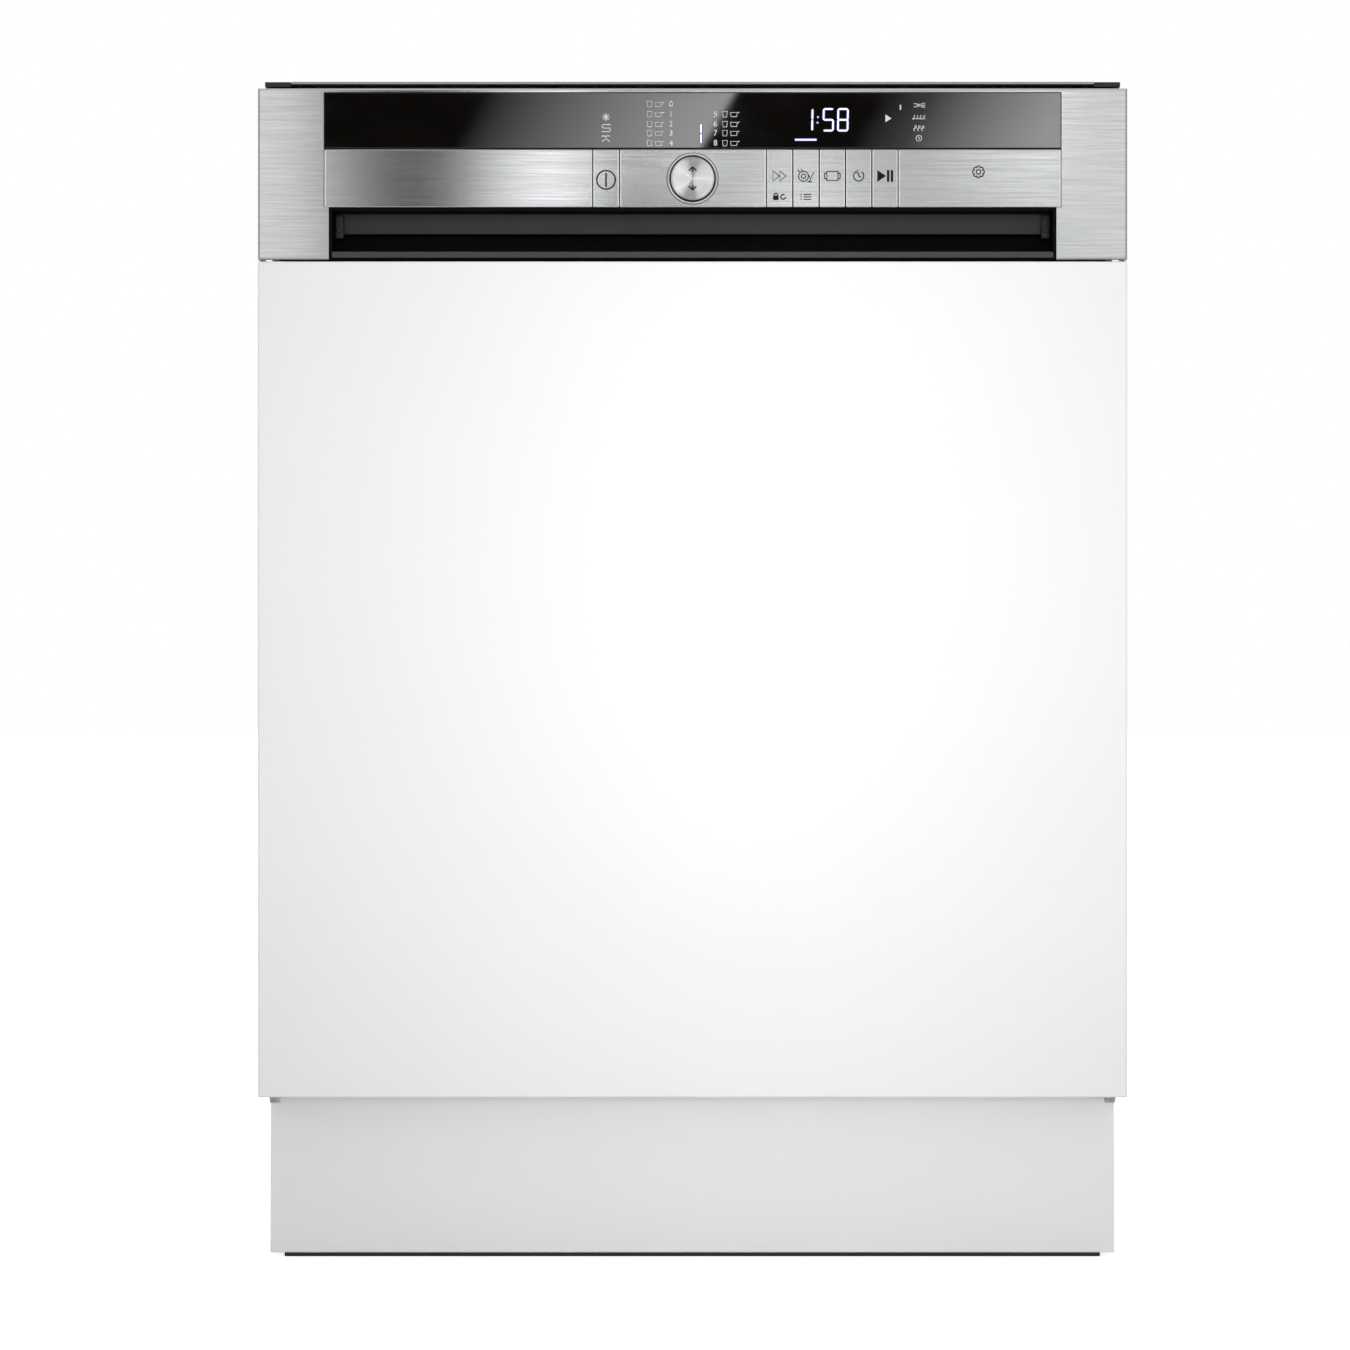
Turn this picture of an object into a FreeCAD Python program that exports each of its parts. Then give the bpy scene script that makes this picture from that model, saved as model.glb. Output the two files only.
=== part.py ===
import FreeCAD, Part

import math
import os

import Sketcher

# A built-in dishwasher for a 600 mm kitchen niche, with a furniture door panel and a metal console.
# Millimetres. X runs to the right, Y runs from the front to the back, Z is up.
# The origin is on the floor, under the middle of the machine.

DOC = FreeCAD.newDocument("Dishwasher")
SHEET = DOC.addObject("Spreadsheet::Sheet", "Sizes")

DRIVING_SIZES = {
    # the whole machine
    "front_half": 299.0, "total_high": 815.0, "rear_most": 287.5,
    "console_face": -283.5, "edge_round": 1.5, "fit_gap": 0.25, "running_gap": 0.05,
    # the door and its hinge
    "panel_thick": 19.0, "panel_low": 116.0, "panel_top": 691.0, "door_low": 128.0, "door_top": 809.0,
    "inner_face": -225.0, "steel": 0.8, "pan_half": 287.0, "pan_front": -262.0, "skin_half": 296.0,
    "skin_flange": -242.0, "hinge_y": -247.0, "hinge_z": 121.0, "pin_radius": 5.0,
    "knuckle_radius": 12.0, "arm_plate": 3.0, "arm_top": 330.0, "latch_z": 787.0,
    # the console
    "console_low": 692.2, "console_top": 810.0, "window_half": 253.7, "window_top": 807.3,
    "fascia_back": -280.0, "skirt_back": -235.0, "glass_face": -283.3, "glass_low": 768.8,
    "strip_top": 767.7, "strip_low": 728.0, "strip_face": -285.0,
    "power_left": -68.8, "power_right": -50.2, "keys_left": 50.8, "key_pitch": 18.1, "key_thick": 3.7,
    "stem_radius": 2.5, "stem_back": -269.5,
    "rocker_z": 747.6, "rocker_radius": 15.1, "rocker_hole": 16.0, "rocker_pivot": -276.0,
    "housing_half": 285.5, "housing_back": -229.0, "housing_top": 807.5, "housing_wall": 2.0,
    "grip_half": 250.2, "grip_ledge": 711.0, "grip_low": 698.0, "grip_high": 726.3,
    "ledge_face": -262.0, "grip_back": -246.0,
    # the cabinet
    "base_half": 290.4, "base_front": -216.0, "base_rear": 281.0, "base_low": 24.0, "base_top": 132.0,
    "base_wall": 3.0, "sheet": 1.0, "cover_top": 811.5, "flange_y": -221.5, "flange_low": 134.0,
    "plinth_half": 294.7, "plinth_front": -232.0, "plinth_top": 114.0, "plinth_low": 3.0,
    "trim_half": 276.3, "trim_front": -279.0, "trim_rear": -150.0, "bracket_rear": -178.0,
    # the tub
    "tub_half": 262.0, "tub_front": -220.0, "tub_back": 238.0, "tub_low": 150.0, "tub_top": 793.0,
    "tub_wall": 1.5, "tub_round": 24.0, "arm_centre": 9.0,
    "sump_x": 100.0, "sump_y": 70.0, "sump_radius": 62.0, "riser_radius": 13.0,
    "salt_x": -170.0, "salt_y": 70.0, "salt_radius": 31.0,
    # the water, drain and mains connections at the back
    "inlet_x": 225.0, "inlet_z": 80.0, "inlet_radius": 13.2, "inlet_hole": 19.0, "valve_rear": 272.0,
    "drain_x": -230.0, "drain_z": 85.0, "drain_radius": 10.0, "drain_hole": 16.0,
    "socket_left": -190.0, "socket_right": -150.0, "socket_low": 65.0, "socket_top": 95.0,
    # the racks
    "wire": 3.5, "rack_half": 248.0, "rack_front": -204.0, "rack_back": 206.0,
    "low_floor": 208.0, "low_rim": 322.0, "high_floor": 478.0, "high_rim": 600.0,
    "wheel_radius": 18.0, "wheel_inner": 228.0, "wheel_outer": 235.0,
    "wheel_front_y": -120.0, "wheel_rear_y": 150.0, "axle_radius": 3.0,
    "tine_height": 72.0, "pivot_radius": 1.6, "fold_y": -60.0, "shelf_z": 545.0, "shelf_wide": 95.0,
    "rack_pipe_z": 466.0, "rail_z": 562.0, "rail_half": 13.0, "rail_reach": 200.0,
    "basket_left": 60.0, "basket_right": 200.0, "basket_front": -190.0, "basket_rear": -60.0,
    "basket_low": 212.0, "basket_top": 322.0,
    # the spray arms
    "low_arm_z": 170.0, "low_arm_reach": 204.0, "high_arm_z": 438.0, "high_arm_reach": 196.0,
    "blade_half": 21.0, "blade_thick": 12.0, "hub_radius": 19.0, "spigot_radius": 9.0,
    # the detergent dispenser on the inner door
    "box_left": -80.0, "box_right": 96.0, "box_low": 372.0, "box_top": 500.0, "box_face": -222.0,
    "box_back": -252.0, "cup_left": -68.0, "cup_right": 8.0, "cup_low": 426.0, "cup_top": 484.0,
    "cap_x": 54.0, "cap_z": 412.0, "cap_radius": 22.0,
    # the feet
    "foot_radius": 19.0, "foot_x": 255.0, "foot_front_y": -185.0, "foot_rear_y": 240.0,
    "screw_radius": 6.0, "pad_thick": 5.0, "hexagon_reach": 11.0, "hexagon_top": 15.0, "screw_top": 90.0,
}


class Size:
    """A length with its value and the sheet expression that it comes from."""

    def __init__(self, value, text):
        self.value = float(value)
        self.text = text

    def joined(self, other, sign, value):
        return Size(value, "(%s %s %s)" % (self.text, sign, other.text))

    def __add__(self, other):
        other = as_size(other)
        return self.joined(other, "+", self.value + other.value)

    def __sub__(self, other):
        other = as_size(other)
        return self.joined(other, "-", self.value - other.value)

    def __mul__(self, other):
        other = as_size(other)
        return self.joined(other, "*", self.value * other.value)

    def __truediv__(self, other):
        other = as_size(other)
        return self.joined(other, "/", self.value / other.value)

    def __neg__(self):
        return Size(-self.value, "(0 - %s)" % self.text)

    def __radd__(self, other):
        return as_size(other) + self

    def __rsub__(self, other):
        return as_size(other) - self

    def __rmul__(self, other):
        return as_size(other) * self


def as_size(thing):
    """Returns a Size for a plain number, and a Size unchanged."""
    if isinstance(thing, Size):
        return thing
    return Size(thing, "%.6f" % thing if thing >= 0 else "(0 - %.6f)" % -thing)


class Sizes:
    """The named cells of the sheet, each as a Size."""

    def __init__(self, values):
        for row, (name, value) in enumerate(values.items(), start=1):
            SHEET.set("A%d" % row, name)
            SHEET.set("B%d" % row, str(value))
            SHEET.setAlias("B%d" % row, name)
            setattr(self, name, Size(value, "Sizes.%s" % name))


S = Sizes(DRIVING_SIZES)
DOC.recompute()
NODES = []


def keep(thing, name):
    """Gives a finished sub-part its label, which also names its file."""
    thing.Label = name
    NODES.append(thing)
    return thing


def bind(thing, prop, size):
    """Ties one property of an object to an expression on the sheet."""
    size = as_size(size)
    thing.setExpression(prop, size.text)


def place(thing, x, y, z):
    """Ties an object's position to the sheet."""
    bind(thing, "Placement.Base.x", x)
    bind(thing, "Placement.Base.y", y)
    bind(thing, "Placement.Base.z", z)


# ---- Part primitives and booleans ----

def block(x, y, z):
    """A box between a low and a high size on each axis."""
    thing = DOC.addObject("Part::Box", "Block")
    for prop, pair in (("Length", x), ("Width", y), ("Height", z)):
        bind(thing, prop, as_size(pair[1]) - pair[0])
    place(thing, x[0], y[0], z[0])
    return thing


TURNS = {
    "x": FreeCAD.Rotation(FreeCAD.Vector(0, 1, 0), 90),
    "y": FreeCAD.Rotation(FreeCAD.Vector(1, 0, 0), -90),
    "z": FreeCAD.Rotation(),
}


def rod(axis, radius, length, x, y, z):
    """A round bar that starts at a point and runs along +x, +y or +z."""
    thing = DOC.addObject("Part::Cylinder", "Rod")
    bind(thing, "Radius", radius)
    bind(thing, "Height", length)
    thing.Placement.Rotation = TURNS[axis]
    place(thing, x, y, z)
    return thing


def cone(low_radius, high_radius, length, x, y, z):
    """An upright cone on a point."""
    thing = DOC.addObject("Part::Cone", "Cone")
    bind(thing, "Radius1", low_radius)
    bind(thing, "Radius2", high_radius)
    bind(thing, "Height", length)
    place(thing, x, y, z)
    return thing


def fused(things):
    """Several objects made one solid."""
    thing = DOC.addObject("Part::MultiFuse", "Fused")
    thing.Shapes = things
    thing.Refine = True
    return thing


def cut(base, tools):
    """An object with others taken away from it."""
    thing = DOC.addObject("Part::Cut", "Cut")
    thing.Base = base
    thing.Tool = tools[0] if len(tools) == 1 else fused(tools)
    return thing


def group(things):
    """Separate solids kept together as one sub-part."""
    thing = DOC.addObject("Part::Compound", "Group")
    thing.Links = things
    return thing


def mirrored(thing):
    """The same object on the other side of the machine."""
    other = DOC.addObject("Part::Mirroring", "Mirrored")
    other.Source = thing
    other.Normal = FreeCAD.Vector(1, 0, 0)
    return other


def pair(thing):
    """An object and its mirror image, as two separate solids."""
    return group([thing, mirrored(thing)])


def runs_along(edge, axis):
    """True for a straight edge that runs along one axis."""
    if edge.Curve.TypeId != "Part::GeomLine":
        return False
    return abs(edge.Curve.Direction.dot(FreeCAD.Vector(*axis))) > 0.999


def eased(thing, radius, axis=None):
    """Rounds the straight edges of an object that run along one axis, or all of its edges."""
    DOC.recompute()
    numbers = [number for number, edge in enumerate(thing.Shape.Edges, start=1)
               if axis is None or runs_along(edge, axis)]
    result = DOC.addObject("Part::Fillet", "Eased")
    result.Base = thing
    result.Edges = [(number, radius, radius) for number in numbers]
    return result


# ---- PartDesign bodies ----

class Bench:
    """A PartDesign body under construction, with sketches on its own origin planes."""

    def __init__(self, name):
        self.name = name
        self.body = DOC.addObject("PartDesign::Body", name)
        self.count = 0

    def sketch(self, role, offset):
        """A new sketch on an origin plane, moved along the plane's normal."""
        self.count += 1
        sketch = self.body.newObject("Sketcher::SketchObject", "%s_sketch_%d" % (self.name, self.count))
        plane = [item for item in self.body.Origin.OriginFeatures if item.Role == role][0]
        sketch.AttachmentSupport = [(plane, "")]
        sketch.MapMode = "FlatFace"
        bind(sketch, "AttachmentOffset.Base.z", offset)
        return sketch

    def feature(self, kind, sketch, length):
        """A pad or a pocket of one sketch."""
        feature = self.body.newObject("PartDesign::%s" % kind, "%s_%s_%d" % (self.name, kind, self.count))
        feature.Profile = sketch
        bind(feature, "Length", length)
        self.body.Tip = feature
        return feature

    def pad(self, sketch, length):
        return self.feature("Pad", sketch, length)

    def pocket(self, sketch, length):
        """Cuts against the sketch's normal, and checks that something went."""
        DOC.recompute()
        before = self.body.Shape.Volume
        feature = self.feature("Pocket", sketch, length)
        DOC.recompute()
        if self.body.Shape.Volume > before - 1e-3:
            raise ValueError("the pocket in %s cuts nothing" % self.name)
        return feature

    def fillet(self, radius, wanted):
        """Rounds the edges of the body that a test picks."""
        DOC.recompute()
        tip = self.body.Tip
        names = ["Edge%d" % number for number, edge in enumerate(tip.Shape.Edges, start=1) if wanted(edge)]
        feature = self.body.newObject("PartDesign::Fillet", "%s_round" % self.name)
        feature.Base = (tip, names)
        bind(feature, "Radius", radius)
        self.body.Tip = feature
        return feature

    def row(self, original, sketch, axis, length, count):
        """Repeats a feature in a straight row along the sketch's axis."""
        feature = self.body.newObject("PartDesign::LinearPattern", "%s_row_%d" % (self.name, self.count))
        feature.Originals = [original]
        feature.Direction = (sketch, [axis])
        bind(feature, "Length", length)
        feature.Occurrences = count
        self.body.Tip = feature
        return feature


def pin_point(sketch, line, across, up):
    """Ties the first point of a line to a place measured from the sketch's origin."""
    for kind, size, axis in (("DistanceX", across, -2), ("DistanceY", up, -1)):
        size = as_size(size)
        if abs(size.value) < 1e-9:
            sketch.addConstraint(Sketcher.Constraint("PointOnObject", line, 1, axis))
            continue
        number = sketch.addConstraint(Sketcher.Constraint(kind, -1, 1, line, 1, size.value))
        sketch.setExpression("Constraints[%d]" % number, size.text)


def outline(sketch, points):
    """A closed outline of straight lines through points, each point tied to the sheet."""
    first = sketch.GeometryCount
    values = [FreeCAD.Vector(as_size(across).value, as_size(up).value, 0) for across, up in points]
    last = len(values) - 1
    for number, start in enumerate(values):
        sketch.addGeometry(Part.LineSegment(start, values[0 if number == last else number + 1]), False)
    for number in range(len(values)):
        following = first if number == last else first + number + 1
        sketch.addConstraint(Sketcher.Constraint("Coincident", first + number, 2, following, 1))
    for number, (across, up) in enumerate(points):
        pin_point(sketch, first + number, across, up)


def rectangle(sketch, across, up):
    """A rectangle between two sizes each way."""
    outline(sketch, [(across[0], up[0]), (across[1], up[0]), (across[1], up[1]), (across[0], up[1])])


def circle(sketch, across, up, radius):
    """A circle tied to the sheet by its centre and radius."""
    across, up, radius = as_size(across), as_size(up), as_size(radius)
    centre = FreeCAD.Vector(across.value, up.value, 0)
    number = sketch.addGeometry(Part.Circle(centre, FreeCAD.Vector(0, 0, 1), radius.value), False)
    for kind, size, axis in (("DistanceX", across, -2), ("DistanceY", up, -1)):
        if abs(size.value) < 1e-9:
            sketch.addConstraint(Sketcher.Constraint("PointOnObject", number, 3, axis))
            continue
        tie = sketch.addConstraint(Sketcher.Constraint(kind, -1, 1, number, 3, size.value))
        sketch.setExpression("Constraints[%d]" % tie, size.text)
    tie = sketch.addConstraint(Sketcher.Constraint("Radius", number, radius.value))
    sketch.setExpression("Constraints[%d]" % tie, radius.text)


def front_plate(name, x, y, z):
    """A body that is a plate facing the front, padded forwards from its back face."""
    bench = Bench(name)
    sketch = bench.sketch("XZ_Plane", -as_size(y[1]))
    rectangle(sketch, x, z)
    bench.pad(sketch, as_size(y[1]) - y[0])
    return bench


# ---- the cabinet ----

def base_tray():
    """An open plastic tray that carries the tub, the pumps and the feet."""
    wall = S.base_wall
    outer = block((-S.base_half, S.base_half), (S.base_front, S.base_rear), (S.base_low, S.base_top))
    inner = block((wall - S.base_half, S.base_half - wall), (S.base_front + wall, S.base_rear - wall),
                  (S.base_low + wall, S.base_top + 1))
    hole = S.screw_radius + S.running_gap
    feet = [rod("z", hole, wall + 2, x, y, S.base_low - 1)
            for x, y in ((-S.foot_x, S.foot_front_y), (S.foot_x, S.foot_front_y), (0, S.foot_rear_y))]
    inside = S.base_rear - wall - 1
    gap = 0.2
    rear = [rod("y", S.inlet_hole, wall + 2, S.inlet_x, inside, S.inlet_z),
            rod("y", S.drain_hole, wall + 2, S.drain_x, inside, S.drain_z),
            block((S.socket_left - gap, S.socket_right + gap), (inside, S.base_rear + 1),
                  (S.socket_low - gap, S.socket_top + gap))]
    keep(cut(outer, [inner] + feet + rear), "base_tray")


def tub():
    """The steel washing tub, open to the front, with its front flange and its floor holes."""
    wall = S.tub_wall
    shell = eased(block((-S.tub_half - wall, S.tub_half + wall), (S.tub_front, S.tub_back + wall),
                        (S.tub_low - wall, S.tub_top + wall)), S.tub_round.value + wall.value, (0, 1, 0))
    hollow = eased(block((-S.tub_half, S.tub_half), (S.tub_front - 5, S.tub_back),
                         (S.tub_low, S.tub_top)), S.tub_round.value, (0, 1, 0))
    flange = block((-S.base_half - 3, S.base_half + 3), (S.flange_y, S.tub_front),
                   (S.flange_low, S.cover_top - 1.5))
    holes = [rod("z", S.sump_radius, 10, S.sump_x, S.sump_y, S.tub_low - 5),
             rod("z", S.salt_radius, 10, S.salt_x, S.salt_y, S.tub_low - 5),
             rod("z", S.riser_radius + 0.2, 10, 0, S.arm_centre, S.tub_low - 5)]
    keep(cut(fused([shell, flange]), [hollow] + holes), "tub")


def casing():
    """The side panels, the rear panel, the top cover and the screws that hold them."""
    side = S.base_half + S.arm_plate
    panel = block((side, side + S.sheet), (S.flange_y, S.base_rear + S.sheet), (S.base_low, S.console_top))
    plinth_notch = block((side - 1, side + 2), (S.flange_y - 1, S.base_front + S.fit_gap),
                         (S.base_low - 1, S.plinth_top + S.fit_gap))
    keep(pair(cut(panel, [plinth_notch])), "side_panels")
    rear = Bench("rear_panel")
    sheet = rear.sketch("XZ_Plane", -S.base_rear - S.sheet)
    rectangle(sheet, (-side, side), (S.flange_low, S.console_top))
    rear.pad(sheet, S.sheet)
    rib = rear.sketch("XZ_Plane", -S.base_rear - 2 * S.sheet)
    rib_half, rib_low, rib_tall, rib_run, ribs = 230, 80, 12, 480, 5
    rectangle(rib, (-rib_half, rib_half), (S.flange_low + rib_low, S.flange_low + rib_low + rib_tall))
    first_rib = rear.pad(rib, S.sheet)
    rear.row(first_rib, rib, "V_Axis", rib_run, ribs)
    keep(rear.body, "rear_panel")
    cover = front_plate("top_cover", (-side - S.sheet, side + S.sheet),
                        (S.flange_y, S.base_rear + S.sheet), (S.console_top, S.cover_top))
    corner_round = 4.0
    cover.fillet(corner_round, lambda edge: runs_along(edge, (0, 0, 1)) and edge.BoundBox.YMin > 0)
    keep(cover.body, "top_cover")
    head_radius, head_thick, screw_x = 3.5, 2, 280
    screws = [rod("y", head_radius, head_thick, x, S.base_rear + S.sheet, z)
              for x in (-screw_x, screw_x) for z in (150, 320, 490, 660, 795)]
    keep(group(screws), "casing_screws")


def worktop_fixings():
    """The light strip under the worktop's front edge and the two brackets beside it."""
    ledge = S.cover_top + 1.9
    foot_front = -200
    keep(fused([block((-S.trim_half, S.trim_half), (S.trim_front, S.trim_rear), (ledge, S.total_high)),
                block((-S.trim_half, S.trim_half), (foot_front, S.trim_rear), (S.cover_top, ledge))]),
         "worktop_trim")
    outer = S.base_half + S.arm_plate + S.sheet
    hole_radius, hole_x, hole_y = 2.5, 285.5, -230
    step_front, leaf = -222, 1.2
    bracket = cut(block((S.trim_half + S.fit_gap, outer), (S.trim_front, S.bracket_rear),
                        (S.cover_top, S.total_high - S.fit_gap)),
                  [rod("z", hole_radius, 8, hole_x, hole_y, S.cover_top - 2),
                   block((S.trim_half, outer + 1), (step_front, S.bracket_rear + 1),
                         (S.cover_top + leaf, S.total_high))])
    keep(pair(bracket), "worktop_brackets")


def plinth():
    """The set-back board between the door and the floor."""
    board = front_plate("plinth", (-S.plinth_half, S.plinth_half), (S.plinth_front, S.base_front),
                        (S.plinth_low, S.plinth_top))
    board.fillet(1.0, lambda edge: edge.BoundBox.YMax < S.plinth_front.value + 0.01)
    keep(board.body, "plinth")


def foot(name, x, y):
    """A levelling foot: a round pad, a hexagon for the spanner and a screw into the base tray."""
    bench = Bench(name)
    pad = bench.sketch("XY_Plane", 0)
    circle(pad, x, y, S.foot_radius)
    bench.pad(pad, S.pad_thick)
    hexagon = bench.sketch("XY_Plane", S.pad_thick)
    outline(hexagon, [(x + S.hexagon_reach * math.cos(math.radians(60 * corner)),
                       y + S.hexagon_reach * math.sin(math.radians(60 * corner))) for corner in range(6)])
    bench.pad(hexagon, S.hexagon_top - S.pad_thick)
    screw = bench.sketch("XY_Plane", S.hexagon_top)
    circle(screw, x, y, S.screw_radius)
    bench.pad(screw, S.screw_top - S.hexagon_top)
    rim_round, rim_level, shortest_rim = 1.5, S.pad_thick.value, 100
    bench.fillet(rim_round, lambda edge: abs(edge.BoundBox.ZMin - rim_level) < 0.1
                 and abs(edge.BoundBox.ZMax - rim_level) < 0.1 and edge.Length > shortest_rim)
    keep(bench.body, name)


def seals():
    """The rubber profile round the tub's mouth and the lip along its sill."""
    low, thick = S.tub_low + 4, 8
    y = (S.inner_face + 0.5, S.flange_y)
    left = block((S.tub_half, S.tub_half + thick), y, (low, S.tub_top + 1.5))
    top = block((-S.tub_half - thick, S.tub_half + thick), y, (S.tub_top + 1.5, S.tub_top + 1.5 + thick))
    lip = block((-S.tub_half, S.tub_half), y, (S.flange_low + 3, S.flange_low + 11))
    keep(group([fused([left, mirrored(left), top]), lip]), "door_seals")


# ---- the hinges ----

def hinges():
    """The brackets with their pins on the base, the arms in the door and the balance springs."""
    inner = S.base_half
    outer = S.base_half + S.arm_plate
    plate = block((inner, outer), (S.hinge_y, -190), (S.plinth_top + 1, S.hinge_z + S.knuckle_radius))
    disc = rod("x", S.knuckle_radius, S.arm_plate, inner, S.hinge_y, S.hinge_z)
    pin = rod("x", S.pin_radius, S.arm_plate + 3, inner - 3, S.hinge_y, S.hinge_z)
    keep(pair(fused([plate, disc, pin])), "hinge_brackets")
    arm = block((S.pan_half, S.pan_half + S.arm_plate), (S.hinge_y - 10, S.hinge_y + 10),
                (S.hinge_z, S.arm_top))
    knuckle = rod("x", S.knuckle_radius, S.arm_plate, S.pan_half, S.hinge_y, S.hinge_z)
    bore = rod("x", S.pin_radius + S.running_gap, S.arm_plate + 2, S.pan_half - 1, S.hinge_y, S.hinge_z)
    keep(pair(cut(fused([arm, knuckle]), [bore])), "hinge_arms")
    x, y, coil_low, coil_long, coil_radius, wire_radius = 276, -150, 42, 62, 8, 1.5
    coil = rod("z", coil_radius, coil_long, x, y, coil_low)
    hook = rod("z", wire_radius, 28, x, y, coil_low + coil_long - 1)
    foot_hook = rod("z", wire_radius, 16, x, y, S.base_low + S.base_wall)
    keep(pair(fused([coil, hook, foot_hook])), "door_springs")


# ---- the water parts ----

def sump():
    """The pot under the tub with the riser that carries the lower spray arm."""
    radius, low, wall, rim_thick = S.sump_radius - 0.2, 60, 3, 1.5
    pot = rod("z", radius, S.tub_low - low, S.sump_x, S.sump_y, low)
    rim = rod("z", S.sump_radius + 4, rim_thick, S.sump_x, S.sump_y, S.tub_low)
    channel = block((-12, S.sump_x), (0, S.sump_y), (low + 2, low + 24))
    riser = rod("z", S.riser_radius, S.low_arm_z - low - 10.5, 0, S.arm_centre, low + 8)
    spigot = rod("z", S.spigot_radius, 20, 0, S.arm_centre, S.low_arm_z - 10)
    hollow = rod("z", radius - wall, 120, S.sump_x, S.sump_y, low + wall)
    keep(cut(fused([pot, rim, channel, riser, spigot]), [hollow]), "sump")


def filters():
    """The flat coarse filter in the tub floor and the cylinder filter that twists out of it."""
    flat = Bench("coarse_filter")
    low, top, outer, inner, mouth, lid_radius, hole = 92, 158, 29, 26.5, 17, 30.5, 31
    disc = flat.sketch("XY_Plane", S.tub_low + 1.5)
    circle(disc, S.sump_x, S.sump_y, S.sump_radius + 3)
    circle(disc, S.sump_x, S.sump_y, hole)
    flat.pad(disc, 2.5)
    keep(flat.body, "coarse_filter")
    cup = Bench("cylinder_filter")
    wall = cup.sketch("XY_Plane", low)
    circle(wall, S.sump_x, S.sump_y, outer)
    circle(wall, S.sump_x, S.sump_y, inner)
    cup.pad(wall, top - low)
    lid = cup.sketch("XY_Plane", top)
    circle(lid, S.sump_x, S.sump_y, lid_radius)
    circle(lid, S.sump_x, S.sump_y, mouth)
    cup.pad(lid, 3)
    grip = cup.sketch("XY_Plane", top)
    rectangle(grip, (S.sump_x - 20, S.sump_x + 20), (S.sump_y - 3, S.sump_y + 3))
    cup.pad(grip, 8)
    keep(cup.body, "cylinder_filter")


def softener():
    """The salt box under the tub, with a neck through the floor and a screwed cap."""
    left, right, front, rear, low, high, corner = -235, -112, 15, 140, 58, 138, 8
    neck_bore, chamber_low, cap_radius, plug_long, cap_thick = 27, 100, 34, 15.5, 7
    box = eased(block((left, right), (front, rear), (low, high)), corner, (0, 0, 1))
    neck = rod("z", S.salt_radius - 0.2, S.tub_low + 4 - high, S.salt_x, S.salt_y, high - 1)
    chamber = rod("z", neck_bore, 62, S.salt_x, S.salt_y, chamber_low)
    keep(cut(fused([box, neck]), [chamber]), "water_softener")
    cap = Bench("salt_cap")
    plug = cap.sketch("XY_Plane", S.tub_low - 12)
    circle(plug, S.salt_x, S.salt_y, neck_bore - S.running_gap)
    cap.pad(plug, plug_long)
    top = cap.sketch("XY_Plane", S.tub_low + 3.4)
    circle(top, S.salt_x, S.salt_y, cap_radius)
    cap.pad(top, cap_thick)
    grip = cap.sketch("XY_Plane", S.tub_low + 10)
    rectangle(grip, (S.salt_x - 24, S.salt_x + 24), (S.salt_y - 4, S.salt_y + 4))
    cap.pad(grip, 6)
    keep(cap.body, "salt_cap")


def circulation_pump():
    """The pump housing with its motor, and the rotor that turns inside it."""
    x, z, front = -50, 84, 105
    volute_radius, volute_long, motor_radius, motor_long, wall, shaft_radius = 40, 44, 33, 82, 4, 4
    volute = rod("y", volute_radius, volute_long, x, front, z)
    motor = rod("y", motor_radius, motor_long, x, front + volute_long, z)
    chamber = rod("y", volute_radius - wall, volute_long - 2 * wall, x, front + wall, z)
    winding_space = rod("y", motor_radius - wall, motor_long - 2 * wall, x, front + volute_long + wall, z)
    bearing = rod("y", shaft_radius + S.running_gap, 2 * wall + 2, x, front + volute_long - wall - 1, z)
    keep(cut(fused([volute, motor]), [chamber, winding_space, bearing]), "circulation_pump")
    rotor = Bench("pump_rotor")
    wheel_radius, wheel_rear, vane_reach, vane_half, vane_long = 28, 34, 26, 1.5, 14
    magnet_radius, magnet_rear, magnet_long, shaft_rear, shaft_long = 20, 104, 48, 112, 80
    wheel = rotor.sketch("XZ_Plane", -(front + wheel_rear))
    circle(wheel, x, z, wheel_radius)
    rotor.pad(wheel, 4)
    for across, up in ((vane_reach, vane_half), (vane_half, vane_reach)):
        vane = rotor.sketch("XZ_Plane", -(front + wheel_rear - 4))
        rectangle(vane, (x - across, x + across), (z - up, z + up))
        rotor.pad(vane, vane_long)
    shaft = rotor.sketch("XZ_Plane", -(front + shaft_rear))
    circle(shaft, x, z, shaft_radius)
    rotor.pad(shaft, shaft_long)
    magnet = rotor.sketch("XZ_Plane", -(front + magnet_rear))
    circle(magnet, x, z, magnet_radius)
    rotor.pad(magnet, magnet_long)
    keep(rotor.body, "pump_rotor")


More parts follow.
